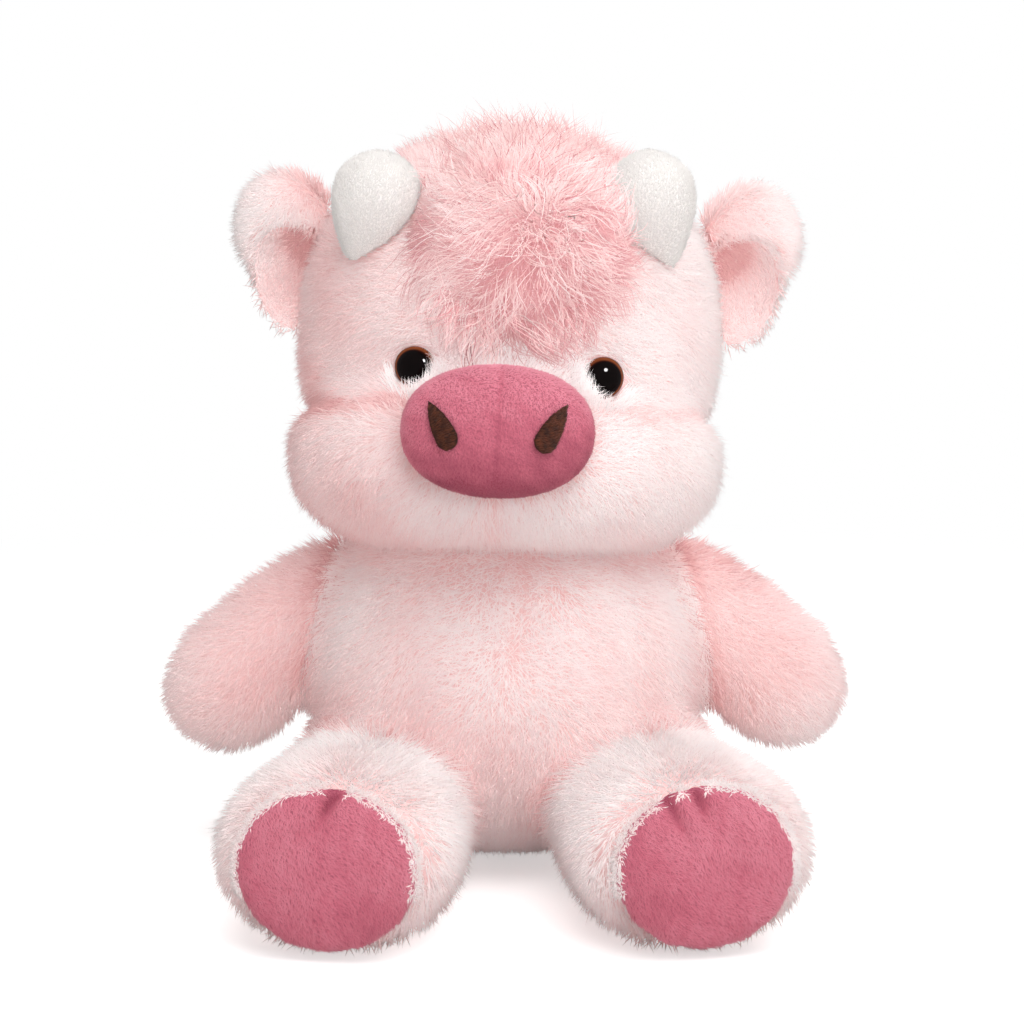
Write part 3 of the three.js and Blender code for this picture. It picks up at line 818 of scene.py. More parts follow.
def turned_eye(side):
    points, washer = corners_of(f"{side}_eye"), corners_of(f"{side}_eye_washer")
    foot = washer.mean(0)
    axis = unit(points.mean(0) - foot)
    along = (points - foot) @ axis
    radius = np.linalg.norm(points - foot - along[:, None] * axis, axis=1).max() / MM
    apex = foot + along.max() * axis
    high = (along.max() - along.min()) / MM
    dome = high - SHANK_LONG - RIM_HIGH
    rim = SHANK_LONG - high
    outline = [(0, -high), (SHANK_R, -high), (SHANK_R, rim)]
    outline += [(radius - RIM_CHAMFER, rim), (radius, rim + RIM_CHAMFER)]
    for step in range(DOME_STEPS + 1):
        angle = math.radians(90 / DOME_STEPS * step)
        outline.append((radius * math.cos(angle), dome * (math.sin(angle) - 1)))
    bm = bmesh.new()
    line = [bm.verts.new((r * MM, 0, h * MM)) for r, h in outline]
    edges = [bm.edges.new(pair) for pair in zip(line, line[1:])]
    bmesh.ops.spin(bm, geom=line + edges, cent=(0, 0, 0), axis=(0, 0, 1), angle=2 * math.pi,
                   steps=EYE_STEPS, use_merge=True)
    bmesh.ops.remove_doubles(bm, verts=bm.verts[:], dist=SAME_POINT)
    bmesh.ops.recalc_face_normals(bm, faces=bm.faces[:])
    for face in bm.faces:
        face.smooth = True
    place = Vector(axis).to_track_quat("Z", "Y").to_matrix().to_4x4()
    place.translation = Vector(apex)
    bmesh.ops.transform(bm, matrix=place, verts=bm.verts[:])
    ring = bm.verts.layers.float.new("ring")
    shift = radius * MM * (IRIS_TO_NOSE * NOSE_WAYS[side] + IRIS_UP * UP)
    for vert in bm.verts:
        away = np.array(vert.co) - apex
        deep = away @ axis
        off = np.linalg.norm(away - deep * axis - shift)
        vert[ring] = off / (IRIS_WIDE * radius * MM) if deep > -dome * MM - 1e-6 else 1
    eye = new_object(f"{side}_domed_eye", mesh_from(bm, f"{side}_domed_eye"), EYE_PLASTIC)
    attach(eye, "head")
    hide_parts(f"{side}_eye")
    EYES[side] = (apex - dome * MM * axis, axis, radius * MM, LID_WAYS[side], NOSE_WAYS[side])
    print(eye.name, "radius", round(radius, 2), "mm, dome", round(dome, 2), "mm")
    return eye


def refinish(node, material):
    """Gives a solid that stays as it is a finish of its own."""
    frame["nodes"][node].data.materials.clear()
    frame["nodes"][node].data.materials.append(material)


domed_eyes = [turned_eye(side) for side in SIDES]
for side in SIDES:
    refinish(f"{side}_eye_washer", WASHER_PLASTIC)
refinish("neck_stuffing", PALE_BACKING)

# %% [markdown]
# ## The snout's seam
# The snout is sewn from two halves, so a shallow seam runs down its middle, with a notch on top.
# The line through both eyes says how far the face is tilted, and the seam is square to it.

# %% Press the snout's seam
SNOUT_AT = box_middle("snout_cover")
SNOUT_HALF = (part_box("snout_cover")[1][2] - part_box("snout_cover")[0][2]) / 2
EYE_LINE = unit(EYES["right"][0] - EYES["left"][0])
SNOUT_UP = unit(UP - EYE_LINE * (UP @ EYE_LINE))
SNOUT_WAY = np.cross(EYE_LINE, SNOUT_UP)
SEAM_HALF, SEAM_DEEP, SEAM_KEPT = 1.5 * MM, 0.7 * MM, 0.6
NOTCH_TO, NOTCH_HALF, NOTCH_DEEP = 0.7, 3 * MM, 1.5 * MM

snout_top = SNOUT_AT + SNOUT_HALF * SNOUT_UP
snout_seam = (snout_top, SNOUT_AT - SNOUT_HALF * SNOUT_UP, SEAM_HALF, SEAM_DEEP, SEAM_KEPT)
snout_notch = (snout_top, SNOUT_AT + NOTCH_TO * SNOUT_HALF * SNOUT_UP, NOTCH_HALF, NOTCH_DEEP, 0)
grooved(FORMS["snout"], SNOUT_WAY, [snout_seam, snout_notch])
print("snout seam along", SNOUT_UP.round(3))

# %% [markdown]
# ## Planting the long pile
# The coat goes on panel by panel, as the cloth was sewn. Each area has its own way of lying:
# down the torso, out from the snout on the muzzle, and along each arm. Roots that a
# neighbour covers for good get no hair.

# %% Where hairs may stand
LID_AT, NOSE_AT = 0.25, 0.62
LASH_BACK, LASH_FAR = 4 * MM, 30 * MM


def covered(tree, roots, normals, reach):
    """True where another piece lies within reach, straight out from the root."""
    return np.array([tree.ray_cast(p, n, reach * MM)[0] is not None for p, n in zip(roots, normals)])


def crosses(tree, starts, ends):
    """True where the straight way from start to end meets another piece."""
    ways = ends - starts
    far = np.linalg.norm(ways, axis=1)
    return np.array([tree.ray_cast(p, w, d)[0] is not None for p, w, d in zip(starts, ways, far)])


def near_tree(tree, points, reach):
    return np.array([tree.find_nearest(p, reach * MM)[0] is not None for p in points])


def gap_to(tree, points):
    return np.array([tree.find_nearest(p)[3] for p in points])


def off_axis(points, middle, axis):
    """How far points lie along an eye's axis, and how they lie off it."""
    away = points - middle
    along = away @ axis
    return along, away - along[:, None] * axis


def before_an_eye(points):
    """True where a point would hide more of an eye than the pile below it and beside the snout does."""
    hides = np.zeros(len(points), bool)
    for middle, axis, radius, lid_way, nose_way in EYES.values():
        along, off = off_axis(points, middle, axis)
        near = (np.linalg.norm(off, axis=1) < radius) & (along > -LASH_BACK) & (along < LASH_FAR)
        hides |= near & (off @ lid_way < LID_AT * radius) & (off @ nose_way < NOSE_AT * radius)
    return hides


# %% Ways to lay and tint a coat


def straight(way):
    """A comb that lays all hairs one way."""
    return lambda roots, normals: np.tile(way, (len(roots), 1))


def even(tint):
    """One tint all over."""
    return lambda roots: np.full(len(roots), tint)


def everywhere(roots):
    return np.ones(len(roots), bool)


def whole(piece, *solids):
    """The panels of a coat that is a single piece, and the solids that it stands for."""
    return [(piece, solids, everywhere)]


def climb(x, start, run):
    """0 up to the start, rising evenly to 1 over the run."""
    return ((x - start) / run).clip(0, 1)


def beside(tree, roots, reach):
    """1 where another piece touches the skin, falling to 0 at the reach."""
    return (1 - gap_to(tree, roots) / (reach * MM)).clip(0, 1)


# %% Coat
FAR_KEPT, FAR_WIDER = 0.3, 1.65
SWAY, SWAY_WIDE = 0.4, 30
STRAYS, STRAY_LONGER, STRAY_UP = 0.06, 1.1, 14
LENGTH_SPREAD = (0.75, 1.1)
LEAN_SPREAD = 9
BEND, BEND_SPREAD = 0.15, 0.1
TINT_DRIFT, TINT_DRIFT_WIDE, TINT_SPREAD = 0.1, 40, 0.06
ON_PIECE = 0.7
IN_FRONT = np.array((0, 30, 0)) * MM


def coat(form, body, panels, comb, tint, seed, per_mm2=1.3, length=11, lean=43, width=0.22, swirl=0.65,
         under=None, reach=11, bare=None, far=None, trim=None, rise=None, shy=None, clear=None,
         within=None, slot="pale_pile", material=LONG_PILE, **more):
    """Plants pile on a form, panel by panel. Lengths are in millimetres, the lean in degrees.
    Under leaves out roots that a piece covers within reach, and bare those that it names. On the
    far side the pile is sparser, of thicker hairs. Trim shortens hairs and rise leans them over.
    Shy keeps hairs out of a piece, clear from before one, and within on one."""
    rng = np.random.default_rng(seed)
    roots, normals = skin_points(form, per_mm2, rng)
    keep = everywhere(roots)
    if far:
        keep &= ~far(roots) | (rng.random(len(roots)) < FAR_KEPT)
    if under:
        keep &= ~covered(under, roots, normals, reach)
    if bare:
        keep &= ~bare(roots, normals)
    roots, normals = roots[keep], normals[keep]
    count = len(roots)
    combed = tangent(comb(roots, normals), normals)
    turn = SWAY * ripple(roots, SWAY_WIDE, seed) + rng.normal(0, swirl, count)
    side_way = np.cross(normals, combed)
    combed = combed * np.cos(turn)[:, None] + side_way * np.sin(turn)[:, None]
    stray = rng.random(count) < STRAYS
    lengths = length * MM * rng.uniform(*LENGTH_SPREAD, count) * np.where(stray, STRAY_LONGER, 1)
    leans = np.radians(lean + rng.normal(0, LEAN_SPREAD, count) - np.where(stray, STRAY_UP, 0))
    bends = rng.normal(BEND, BEND_SPREAD, count)
    if trim:
        lengths *= trim(roots)
    if rise:
        leans *= rise(roots)
    if within:
        roots = roots - combed * lengths[:, None] / 2
    drift = TINT_DRIFT * ripple(roots, TINT_DRIFT_WIDE, seed + 5)
    tints = tint(roots) + drift + rng.normal(0, TINT_SPREAD, count)
    widths = width * MM * (np.where(far(roots), FAR_WIDER, 1) if far else np.ones(count))
    way = normals * np.cos(leans)[:, None] + combed * (np.sin(leans) + bends)[:, None]
    tips = roots + lengths[:, None] * way
    seen = everywhere(roots)
    for share in (0.35, 0.5, 0.65, 0.8, 1):
        seen &= ~before_an_eye(roots + share * (tips - roots))
    if shy:
        seen &= ~crosses(shy, roots, tips)
    if clear:
        for share in (0.4, 0.7, 1):
            place = roots + share * (tips - roots)
            seen &= ~crosses(clear, place, place + IN_FRONT)
    if within:
        seen &= near_tree(within, roots, ON_PIECE) & near_tree(within, tips, ON_PIECE)
    for piece, solids, choose in panels:
        pick = seen & choose(roots)
        obj = plant(piece, roots[pick], normals[pick], combed[pick], lengths[pick], widths[pick],
                    leans[pick], bends[pick], tints[pick], material, seed, **more)
        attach(obj, body)
        if solids:
            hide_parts(*solids)


# %% [markdown]
# ## The torso's coat
# The torso is cut as a back and two fronts. Its pile hangs down and a little out, and on the
# belly it lies out from a whorl. Painted shade makes it pinker low on the belly under the head,
# along the chest's seam under the chin, and where the head and legs press against it, where the
# pile turns away from the light.

# %% Lie and tint of the torso's pile
NECK = joint_at("head_turn")
NECK_BARE, NECK_HALF = 30 * MM, 35 * MM
BELLY_WHORL = np.array((0, -79, 85)) * MM
BELLY_REACH, BELLY_DRIFT = 42 * MM, 14 * MM
WHORL_MIXED, WHORL_CALM = 22 * MM, 20 * MM
BELLY_LOW, BELLY_HALF = 62 * MM, 30 * MM
CHEST_SEAM = np.array((6, 0, 0)) * MM
CHEST_HIGH, CHEST_HALF = 122 * MM, 9 * MM
PARTING, SEAM_WIDE = 6 * MM, 2.2 * MM
ACROSS = np.array((1.0, 0, 0))
LEG_TREE = tree_of(*(FORMS[f"{side}_leg"].data for side in SIDES))
HEAD_TREE = tree_of(FORMS["head"].data)


def down_and_out(roots, normals):
    return unit(0.4 * normals * np.array([1, 1, 0]) - UP)


def parted(roots, seam_at, seam_way):
    """Leads the pile away from a seam, most strongly beside it."""
    off = (roots - seam_at) @ seam_way
    return (np.sign(off) * bell(off, PARTING))[:, None] * seam_way


def seam_depth(roots, seam_at, seam_way):
    """1 in a seam, falling to 0 a few millimetres beside it."""
    return bell((roots - seam_at) @ seam_way, SEAM_WIDE)


def seam_shows(roots):
    """1 just under the chin, where the chest's seam shows."""
    return bell(roots[:, 2] - CHEST_HIGH, CHEST_HALF) * (roots[:, 1] < 0)


def torso_comb(roots, normals):
    away = roots - BELLY_WHORL
    far = np.linalg.norm(away, axis=1)
    near = bell(far, BELLY_REACH, 4)[:, None]
    close = bell(far, WHORL_MIXED)[:, None]
    outwards = unit(away + BELLY_DRIFT * ripples(roots, scale=30, seed=104))
    whorl = outwards + 1.2 * close * ripples(roots, scale=4, seed=110)
    lie = 0.55 * near * whorl + (1 - 0.55 * near) * down_and_out(roots, normals)
    return lie + 0.25 * seam_shows(roots)[:, None] * parted(roots, CHEST_SEAM, ACROSS)


def torso_tint_and_shade(roots):
    # Painted shade: pinker low on the belly under the head, along the chest's seam just under the chin,
    # and in the creases where the legs and head press on the torso. Paler round the whorl.
    belly_shade = bell(roots[:, 2] - BELLY_LOW, BELLY_HALF) * (roots[:, 1] < 0)
    chest = seam_depth(roots, CHEST_SEAM, ACROSS) * seam_shows(roots)
    crease_shade = np.maximum(beside(LEG_TREE, roots, reach=14), beside(HEAD_TREE, roots, reach=22))
    calm = bell(np.linalg.norm(roots - BELLY_WHORL, axis=1), WHORL_CALM)
    return 0.36 + 0.26 * belly_shade + 0.12 * chest + 0.6 * crease_shade - 0.3 * calm


# %% Torso pile
SIDE_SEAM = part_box("torso_back_panel")[0][1]
FAR_FROM = 10 * MM
SEAT_FACING = -0.93
SEAT_LOW, SEAT_RUN, SEAT_SHORTEST = 3 * MM, 20 * MM, 0.35
LIMB_TREE = tree_of(*(FORMS[limb].data for limb in LIMBS))


def in_neck(roots, normals):
    near = np.linalg.norm((roots - NECK)[:, :2], axis=1) < NECK_BARE
    return near & (np.abs(roots[:, 2] - NECK[2]) < NECK_HALF)


def neck_or_seat(roots, normals):
    return in_neck(roots, normals) | (normals[:, 2] < SEAT_FACING)


def seat_trim(roots):
    """Shorter pile where the seat meets the floor."""
    return SEAT_SHORTEST + (1 - SEAT_SHORTEST) * climb(roots[:, 2], SEAT_LOW, SEAT_RUN)


def behind(roots):
    return roots[:, 1] > FAR_FROM


def on_front(roots):
    return roots[:, 1] < SIDE_SEAM


coat(FORMS["torso"], "torso", [
    ("torso_back_pile", ["torso_back_panel"], lambda p: ~on_front(p)),
    ("torso_front_left_pile", ["torso_front_left_panel"], lambda p: on_front(p) & (p[:, 0] < 0)),
    ("torso_front_right_pile", ["torso_front_right_panel"], lambda p: on_front(p) & (p[:, 0] >= 0)),
], torso_comb, torso_tint_and_shade, seed=11, under=LIMB_TREE, reach=4, bare=neck_or_seat, far=behind,
     trim=seat_trim)

# %% [markdown]
# ## The head's coat
# The muzzle's pile lies out from the snout, and the crown's from the forelock's whorl. A seam
# runs round the head at eye level: the pile is shorter in it, and painted pinker as shade, so it
# reads as a crease. Painted shade also deepens the left side and the chin's seam.

# %% Lie and tint of the head's pile
WHORL = np.array((7.5, -62, 256)) * MM
SNOUT_REACH, HEAD_HALF = 62 * MM, 85 * MM
CREASE_HALF = 4 * MM
HORNS = tree_of(*(FORMS[f"{side}_horn"].data for side in SIDES))
muzzle_tree = solids_tree("muzzle_left_panel", "muzzle_right_panel")
crown_tree = solids_tree("head_cover")


def past_seam(roots):
    """How much nearer each root is to a muzzle panel than to the crown: positive on the muzzle."""
    return gap_to(crown_tree, roots) - gap_to(muzzle_tree, roots)


def on_muzzle(roots):
    return past_seam(roots) > 0


def in_crease(roots):
    """1 in the seam at eye level, falling to 0 beside it."""
    return bell(past_seam(roots), CREASE_HALF)


def creased(roots):
    return 1 - 0.5 * in_crease(roots)


def near_snout(roots):
    return bell(np.linalg.norm(roots - SNOUT_AT, axis=1), SNOUT_REACH, 4)


def head_comb(roots, normals):
    out_from_snout = unit(roots - SNOUT_AT) - 0.3 * UP
    out_from_whorl = unit(roots - WHORL) - 0.3 * UP
    near = near_snout(roots)[:, None]
    below = (roots[:, 2] < SNOUT_AT[2])[:, None]
    chin = 0.3 * below * parted(roots, SNOUT_AT, EYE_LINE)
    return near * out_from_snout + (1 - near) * out_from_whorl + chin


def head_tint_and_shade(roots):
    # Painted shade: deeper on the left, the side away from the key lamp, along the seam under the chin,
    # and in the crease at eye level. Paler by the snout.
    across = (roots[:, 0] / HEAD_HALF).clip(-1, 1)
    chin = seam_depth(roots, SNOUT_AT, EYE_LINE) * (roots[:, 2] < SNOUT_AT[2]) * (roots[:, 1] < 0)
    return 0.5 - 0.36 * across - 0.25 * near_snout(roots) + 0.2 * chin + 0.42 * in_crease(roots)


def neck_or_horn(roots, normals):
    return in_neck(roots, normals) | covered(HORNS, roots, normals, reach=4)


# %% Head and muzzle pile
on_head = [FORMS["snout"], FORMS["forelock_base"], *domed_eyes]
ON_HEAD = tree_of(*(obj.data for obj in on_head))
coat(FORMS["head"], "head", [
    ("head_pile", ["head_cover"], lambda p: ~on_muzzle(p) & ~behind(p)),
    ("head_back_pile", ["head_cover"], lambda p: ~on_muzzle(p) & behind(p)),
    ("muzzle_left_pile", ["muzzle_left_panel"], lambda p: on_muzzle(p) & (p[:, 0] < SNOUT_AT[0])),
    ("muzzle_right_pile", ["muzzle_right_panel"], lambda p: on_muzzle(p) & (p[:, 0] >= SNOUT_AT[0])),
], head_comb, head_tint_and_shade, seed=12, per_mm2=1.5, width=0.21, under=ON_HEAD, bare=neck_or_horn, far=behind,
     trim=creased, shy=HORNS)

# %% [markdown]
# White pile from the muzzle stands up before the lowest part of each eye, so the button looks
# set into the face. These few hairs are planted by themselves, leaning towards the eye.

# %% Pile below the eyes
LID_FROM, LID_TO = 0.8, 1.7


def lid_pile(side, seed):
    eye_at, eye_way, eye_r, lid_way, _ = EYES[side]

    def not_below_eye(roots, normals):
        _, off = off_axis(roots, eye_at, eye_way)
        far = np.linalg.norm(off, axis=1) > LID_TO * eye_r
        return far | (off @ lid_way < LID_FROM * eye_r) | (normals @ eye_way < 0)

    coat(FORMS["head"], "head", whole(f"{side}_lid_pile"), straight(-lid_way), even(0.05), seed,
         per_mm2=5, length=11.5, lean=24, width=0.17, swirl=0.6, bare=not_below_eye)


for number, side in enumerate(SIDES):
    lid_pile(side, seed=14 + number)

# %% [markdown]
# ## Arms and legs
# An arm's pile runs along it to the hand, and painted shade makes it pinker at the shoulder and
# against the torso.
# A leg's pile runs down and out from the foot's middle, and closes forwards round the pad as a
# collar. Over the pad's upper edge hangs a short fringe, which the gathers interrupt.

# %% Arm pile
TORSO_TREE = tree_of(FORMS["torso"].data)
ARM_FADE = 80 * MM


def arm_pile(side, seed):
    arm = f"{side}_arm"
    shoulder = joint_at(f"{arm}_swing")
    hand_way = unit(box_middle(f"{arm}_stuffing") - shoulder)

    def arm_tint_and_shade(roots):
        # Painted shade: deeper at the shoulder under the head and where the arm lies against the torso.
        share = climb((roots - shoulder) @ hand_way, 0, ARM_FADE)
        return 0.86 - 0.34 * share + 0.4 * beside(TORSO_TREE, roots, reach=9)

    coat(FORMS[arm], arm, whole(f"{arm}_pile", f"{arm}_cover"), straight(hand_way), arm_tint_and_shade, seed,
         far=behind)


# %% Leg pile and its fringe
PAD_FRINGE = 3 * MM
LOW_SIDE, LEG_LOW = 14 * MM, 45 * MM
COLLAR_FROM, COLLAR_RUN = 3 * MM, 12 * MM
RIM_FRONT, RIM_OUT, RIM_UP = 1 * MM, 0.3, -0.3
GATHER_BARE = 0.2


def gather_depth(side, roots):
    """1 in a pad's gathers at its edge, fading along them and beside them."""
    deep = np.zeros(len(roots))
    for start, end, half, _, _ in PAD_GROOVES[side]:
        run = end - start
        share = ((roots - start) @ run / (run @ run)).clip(0, 1)
        off = np.linalg.norm(roots - start - share[:, None] * run, axis=1)
        deep += (1 - 0.7 * share) * bell(off, half)
    return deep


def leg_pile(side, seed):
    leg, pad = f"{side}_leg", FORMS[f"{side}_pad"]
    sole = box_middle(f"{side}_foot_pad")
    foot_way = pad_facing(side)
    pad_tree = tree_of(pad.data)

    def from_pad(roots):
        """The way straight out from the pad's middle, in its own plane."""
        away = roots - sole
        return unit(away - (away @ foot_way)[:, None] * foot_way)

    def behind_pad(roots, normals):
        ways = np.tile(foot_way, (len(roots), 1))
        hidden = covered(pad_tree, roots + PAD_FRINGE * from_pad(roots), ways, reach=16)
        return hidden | covered(TORSO_TREE, roots, normals, reach=5)

    def leg_comb(roots, normals):
        share = climb(gap_to(pad_tree, roots), COLLAR_FROM, COLLAR_RUN)[:, None]
        over_edge = (from_pad(roots) @ UP).clip(0, 1)[:, None]
        collar = foot_way - (0.2 + 0.8 * over_edge) * from_pad(roots)
        return share * (0.8 * from_pad(roots) - 0.5 * UP + 0.3 * foot_way) + (1 - share) * collar

    def leg_tint_and_shade(roots):
        # Painted shade: pinker low on the leg and where it lies against the torso.
        low = (1 - roots[:, 2] / LEG_LOW).clip(0, 1)
        return 0.22 + 0.5 * low + 0.5 * beside(TORSO_TREE, roots, reach=12)

    def off_rim(roots, normals):
        """True away from the seam along the pad's upper edge, where the leg's pile hangs over it."""
        before = (roots - sole) @ foot_way > RIM_FRONT
        aside = (dot(normals, from_pad(roots)) < RIM_OUT) | (gather_depth(side, roots) > GATHER_BARE)
        return before | aside | (from_pad(roots) @ UP < RIM_UP)

    coat(FORMS[leg], leg, whole(f"{leg}_pile", f"{leg}_cover"), leg_comb, leg_tint_and_shade, seed,
         per_mm2=1.0, width=0.24, bare=behind_pad, far=lambda p: p[:, 2] < LOW_SIDE)
    coat(pad, leg, whole(f"{side}_pad_fringe"), lambda p, n: foot_way - 0.5 * from_pad(p), even(0.25),
         seed + 4, per_mm2=4, length=4.5, lean=58, bare=off_rim)


for number, side in enumerate(SIDES):
    arm_pile(side, seed=20 + number)
    leg_pile(side, seed=30 + number)

# %% [markdown]
# ## Ears and tail
# The ears' outer cloth is folded forwards over a paler, shorter lining. Painted shade makes the
# lining pink where it goes under the fold, and the roll deeper towards the root. The tail is a
# small sleeve of the same pile as the torso, with a pink tuft.

# %% Ears
FOLD_BELOW, RIM_BACK = 3 * MM, 11 * MM
FOLD_ABOVE, FOLD_HALF, FOLD_RUN = 4 * MM, 9 * MM, 20 * MM
ROLL_RUN = 18 * MM


def ear_pile(side, seed):
    ear = f"{side}_ear"
    middle = box_middle(f"{ear}_outer")
    tip_way = unit(middle - joint_at(f"{ear}_flap"))
    back, inside = FORMS[f"{ear}_back"], FORMS[f"{ear}_inside"]
    inside_tree = tree_of(inside.data)

    def lower_rim(roots):
        """The front of the rim below the fold, where the lining's pale pile comes round the edge."""
        return (roots[:, 2] < middle[2] - FOLD_BELOW) & (roots[:, 1] < middle[1] + RIM_BACK)

    def over_fold(roots, normals):
        front = (-normals[:, 1]).clip(0, 1)[:, None]
        return tip_way + (0.15 - 0.45 * front) * UP

    def outwards(roots, normals):
        return 0.35 * unit(roots - middle) + 0.8 * tip_way - 0.6 * UP

    def lining_tint_and_fold_shade(roots):
        # Painted shade: deeper just under the fold, and more so towards the ear's root.
        high = bell(roots[:, 2] - middle[2] - FOLD_ABOVE, FOLD_HALF)
        deep = ((middle - roots) @ tip_way / FOLD_RUN).clip(-0.3, 1)
        return 0.55 + 0.8 * high * (0.35 + deep) + 0.4 * deep.clip(0, 1)

    def roll_tint_and_root_shade(roots):
        # Painted shade: the roll is deeper towards the ear's root, under the fold.
        return 0.28 + 0.5 * climb((middle - roots) @ tip_way, 0, ROLL_RUN)

    coat(back, ear, [(f"{ear}_pile", None, lambda p: ~lower_rim(p))], over_fold, roll_tint_and_root_shade, seed,
         per_mm2=2.8, length=9, lean=56, under=inside_tree, reach=3, slot="pink_pile")
    coat(back, ear, [(f"{ear}_edge_pile", None, lower_rim)], outwards, even(0.05), seed + 2,
         per_mm2=2.4, length=6, under=inside_tree, reach=2)
    coat(inside, ear, whole(f"{ear}_lining_pile"), outwards, lining_tint_and_fold_shade, seed + 4,
         per_mm2=2.6, length=6.5, lean=52, bare=lambda p, n: n[:, 1] > 0.2)


for number, side in enumerate(SIDES):
    ear_pile(side, seed=40 + number)

# %% Tail
PINK = {"slot": "pink_pile", "material": PINK_PILE}
tail_way = unit(box_middle("tail_tuft") - joint_at("tail_wag"))
coat(FORMS["tail_filling"], "tail", whole("tail_pile"), straight(tail_way), even(0.35), seed=50,
     per_mm2=1.2, length=9)
coat(FORMS["tail_tuft_base"], "tail", whole("tail_tuft_pile"), straight(tail_way), even(0.5), seed=51,
     per_mm2=0.8, length=15, lean=60, shape=CURLY_HAIR, curl=0.08, **PINK)

# %% [markdown]
# ## The forelock
# Long curly pile springs from a whorl above the forehead: up and back over the crown, sideways
# to the horns and down the brow. A dense short coat hides the cloth, and a band of it thins out
# over the head behind the horns. A few wisps stand up from the crown, and long hairs with several
# rings, drawn together into locks, make the curls on the brow.

# %% Lie and tint of the forelock
HEAD_AT = box_middle("head_stuffing")
FORELOCK_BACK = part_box("forelock")[1][1] - 4 * MM
WHORL_SPREAD, WHORL_CLOSE, WHORL_FADE = 13 * MM, 15 * MM, 16 * MM
CROWN_ABOVE, CROWN_RUN, CROWN_BACK_RUN = 2 * MM, 22 * MM, 20 * MM
HORN_MIDDLE, HORN_PAST = box_middle("left_horn_cover")[1], 8 * MM
HORN_NEAR, HORN_RUN = 1 * MM, 13 * MM


def from_whorl(roots, normals):
    """Out from the whorl, but in all directions close to it."""
    away = roots - WHORL
    close = bell(np.linalg.norm(away, axis=1), WHORL_CLOSE)[:, None]
    outwards = unit(away + WHORL_SPREAD * ripples(roots, scale=28, seed=101))
    return outwards + 1.6 * close * ripples(roots, scale=3, seed=107) - 0.15 * UP


def near_horn(roots):
    """0 beside a horn, rising to 1 away from it."""
    return climb(gap_to(HORNS, roots), HORN_NEAR, HORN_RUN)


def past_horns(roots):
    """0 before the horns' middle, rising to 1 behind it, where the fluff fills the corners."""
    return climb(roots[:, 1], HORN_MIDDLE, HORN_PAST)


def crown_share(roots):
    """0 round the whorl, below it and at the back edge, rising to 1 on top of the crown."""
    back = ((FORELOCK_BACK - roots[:, 1]) / CROWN_BACK_RUN).clip(0, 1)
    return climb(roots[:, 2] - WHORL[2], CROWN_ABOVE, CROWN_RUN) * back


def below_whorl(roots):
    return ((WHORL[2] - roots[:, 2]) / WHORL_FADE).clip(-1, 1)


def fluff_tint_and_shade(roots):
    """Painted shade: deeper below the whorl, where it shows between and under the locks."""
    return 0.86 + 0.36 * below_whorl(roots) + 0.15 * ripple(roots, scale=14, seed=77)


def rim_tint(roots):
    return 0.55 + 0.15 * ripple(roots, scale=14, seed=79)


def lock_tint_and_shade(roots):
    # Painted shade: deeper below the whorl, with a random ripple in the tint.
    return 0.54 + 0.16 * below_whorl(roots).clip(0, 1) + 0.36 * ripple(roots, scale=8, seed=78)


def lock_trim(roots):
    return 0.3 + 0.7 * near_horn(roots)


def fluff_trim(roots):
    return np.maximum(lock_trim(roots), past_horns(roots)) * (1 - 0.5 * crown_share(roots))


# %% Forelock
FORELOCK = tree_of(FORMS["forelock_base"].data)
RIM_BAND, RIM_BEFORE = 13 * MM, 4 * MM
BROW_TOP = 14 * MM
CLEAR_OF_HORNS = {"shy": HORNS, "clear": tree_of(FORMS["left_horn"].data)}


def inner_side(roots, normals):
    return dot(normals, roots - HEAD_AT) < 0


def off_rim_band(roots, normals):
    """True away from the band beside and behind the patch, where its pile thins out over the head's."""
    return (gap_to(FORELOCK, roots) > RIM_BAND) | (roots[:, 1] < HORN_MIDDLE - RIM_BEFORE)


def off_brow(roots, normals):
    return inner_side(roots, normals) | (roots[:, 2] > WHORL[2] + BROW_TOP)


coat(FORMS["forelock_base"], "head", whole("forelock_fluff"), from_whorl, fluff_tint_and_shade, seed=60,
     per_mm2=2.1, length=13.5, lean=50, swirl=0.6, bare=inner_side, trim=fluff_trim,
     rise=lambda p: 1 + 0.3 * crown_share(p), **CLEAR_OF_HORNS, **PINK)
coat(FORMS["head"], "head", whole("forelock_rim"), from_whorl, rim_tint, seed=63,
     per_mm2=1.8, length=15, lean=30, bare=off_rim_band, under=FORELOCK, **CLEAR_OF_HORNS, **PINK)
coat(FORMS["forelock_base"], "head", whole("forelock_wisps"), from_whorl, lock_tint_and_shade, seed=62,
     per_mm2=0.16, length=16, lean=46, width=0.13, swirl=0.7, bare=lambda p, n: crown_share(p) < 0.2,
     trim=near_horn, shape=CURLY_HAIR, curl=0.05, **CLEAR_OF_HORNS, **PINK)
coat(FORMS["forelock_base"], "head", whole("forelock_locks"), from_whorl, lock_tint_and_shade, seed=61,
     per_mm2=1.1, length=31, lean=56, width=0.2, swirl=0.45, bare=off_brow, trim=lock_trim,
     shape=LOCK_HAIR, tuft=(6, 0.85), curl=0.12, hug=0.36, soft=0.75, **CLEAR_OF_HORNS, **PINK)

# %% [markdown]
# ## Short nap
# The horns are white plush, and snout and foot pads rose velour. Their nap is only two or three
# millimetres long and lies almost flat, in strokes that catch the light. On the velour, painted
# shade makes it deeper in the gathers, round the pads' edges and along the snout's seam, and
# painted light and shade make the snout light on top and deep below.

# %% Nap of horns and pads
NAP = {"shape": NAP_HAIR, "tuft": (1.5, 0.2), "soft": 0.3}
WHITE = {"slot": "white_plush", "material": WHITE_NAP}
ROSE = {"slot": "rose_plush", "material": ROSE_NAP}
PAD_STROKE, PAD_SHADE = np.array((0.6, 0, -1)), np.array((-0.6, 0, -0.8))
PAD_SUNK, PAD_SLOPE = 7 * MM, 32 * MM


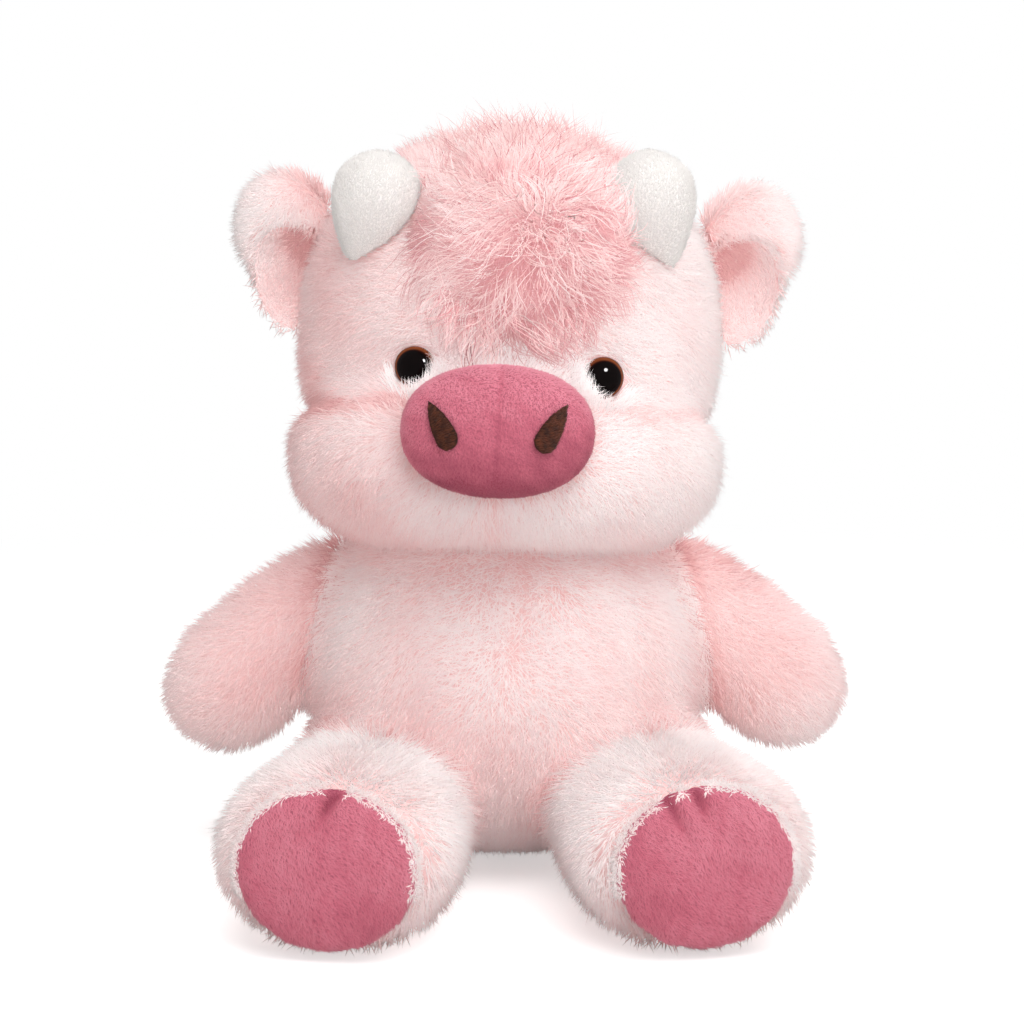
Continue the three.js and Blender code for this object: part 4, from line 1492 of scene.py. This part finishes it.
def horn_nap(side, seed):
    coat(FORMS[f"{side}_horn"], "head", whole(f"{side}_horn_nap"), straight(UP), even(0.6), seed,
         per_mm2=2.6, length=2.4, lean=58, width=0.16, **WHITE, **NAP)


def pad_nap(side, seed):
    sole = box_middle(f"{side}_foot_pad")
    foot_way = pad_facing(side)

    def pad_tint_and_shade(roots):
        """Painted shade: deeper in the gathers, round the stitched edge and towards the pad's lower
        side.
        """
        away = roots - sole
        edge_shade = (-(away @ foot_way) / PAD_SUNK).clip(0, 1)
        lower_side_shade = (away @ PAD_SHADE / PAD_SLOPE).clip(-1, 1)
        base_and_side_shade = 0.36 + 0.06 * ripple(roots, scale=9, seed=90) + 0.12 * lower_side_shade
        return base_and_side_shade + 0.75 * gather_depth(side, roots) + 0.4 * edge_shade

    coat(FORMS[f"{side}_pad"], f"{side}_leg", whole(f"{side}_pad_nap"), straight(PAD_STROKE), pad_tint_and_shade,
         seed, per_mm2=3.6, length=2.4, lean=70, width=0.14, swirl=0.5,
         bare=lambda p, n: n @ foot_way < -0.1, **ROSE, **NAP)


for number, side in enumerate(SIDES):
    horn_nap(side, seed=70 + number)
    pad_nap(side, seed=72 + number)

# %% Nap of the snout
SNOUT_STROKE = np.array((0.3, 0, -1))
SEAM_LINE = 1 * MM
nostrils = tree_of(*(FORMS[f"{side}_nostril_base"].data for side in SIDES))


def snout_tint_and_shade(roots):
    """Painted light and shade: light on top and deep below, with painted shade along the middle seam.
    """
    high = (roots[:, 2] - SNOUT_AT[2]) / SNOUT_HALF
    seam = bell((roots - SNOUT_AT) @ EYE_LINE, SEAM_LINE)
    return 0.45 - 0.52 * high + 0.25 * seam + 0.08 * ripple(roots, scale=9, seed=91)


coat(FORMS["snout"], "head", whole("snout_nap"), straight(SNOUT_STROKE), snout_tint_and_shade, seed=74,
     per_mm2=4.5, length=1.5, lean=62, width=0.15, swirl=0.8, under=nostrils, reach=3,
     bare=lambda p, n: n[:, 1] > 0.3, **ROSE, **NAP)

# %% [markdown]
# ## Nostril stitches
# The nostrils are satin stitch: close rows of shiny thread across a drop. Each short length of
# thread lies flat and is kept only where both of its ends are on the drop.

# %% Nostril stitches
STITCH_WAY = np.array((0.9, 0, 0.45))


def stitch_tint(roots):
    return 0.5 + 0.4 * ripple(roots, scale=3, seed=92)


for number, side in enumerate(SIDES):
    base = FORMS[f"{side}_nostril_base"]
    coat(base, "head", whole(f"{side}_nostril_stitches"), straight(STITCH_WAY), stitch_tint,
         seed=80 + number, per_mm2=6, length=2.4, lean=84, width=0.16, swirl=0.12, tuft=(4, 0),
         bare=lambda p, n: n[:, 1] > -0.3, within=tree_of(base.data), slot="thread", material=STITCHING)
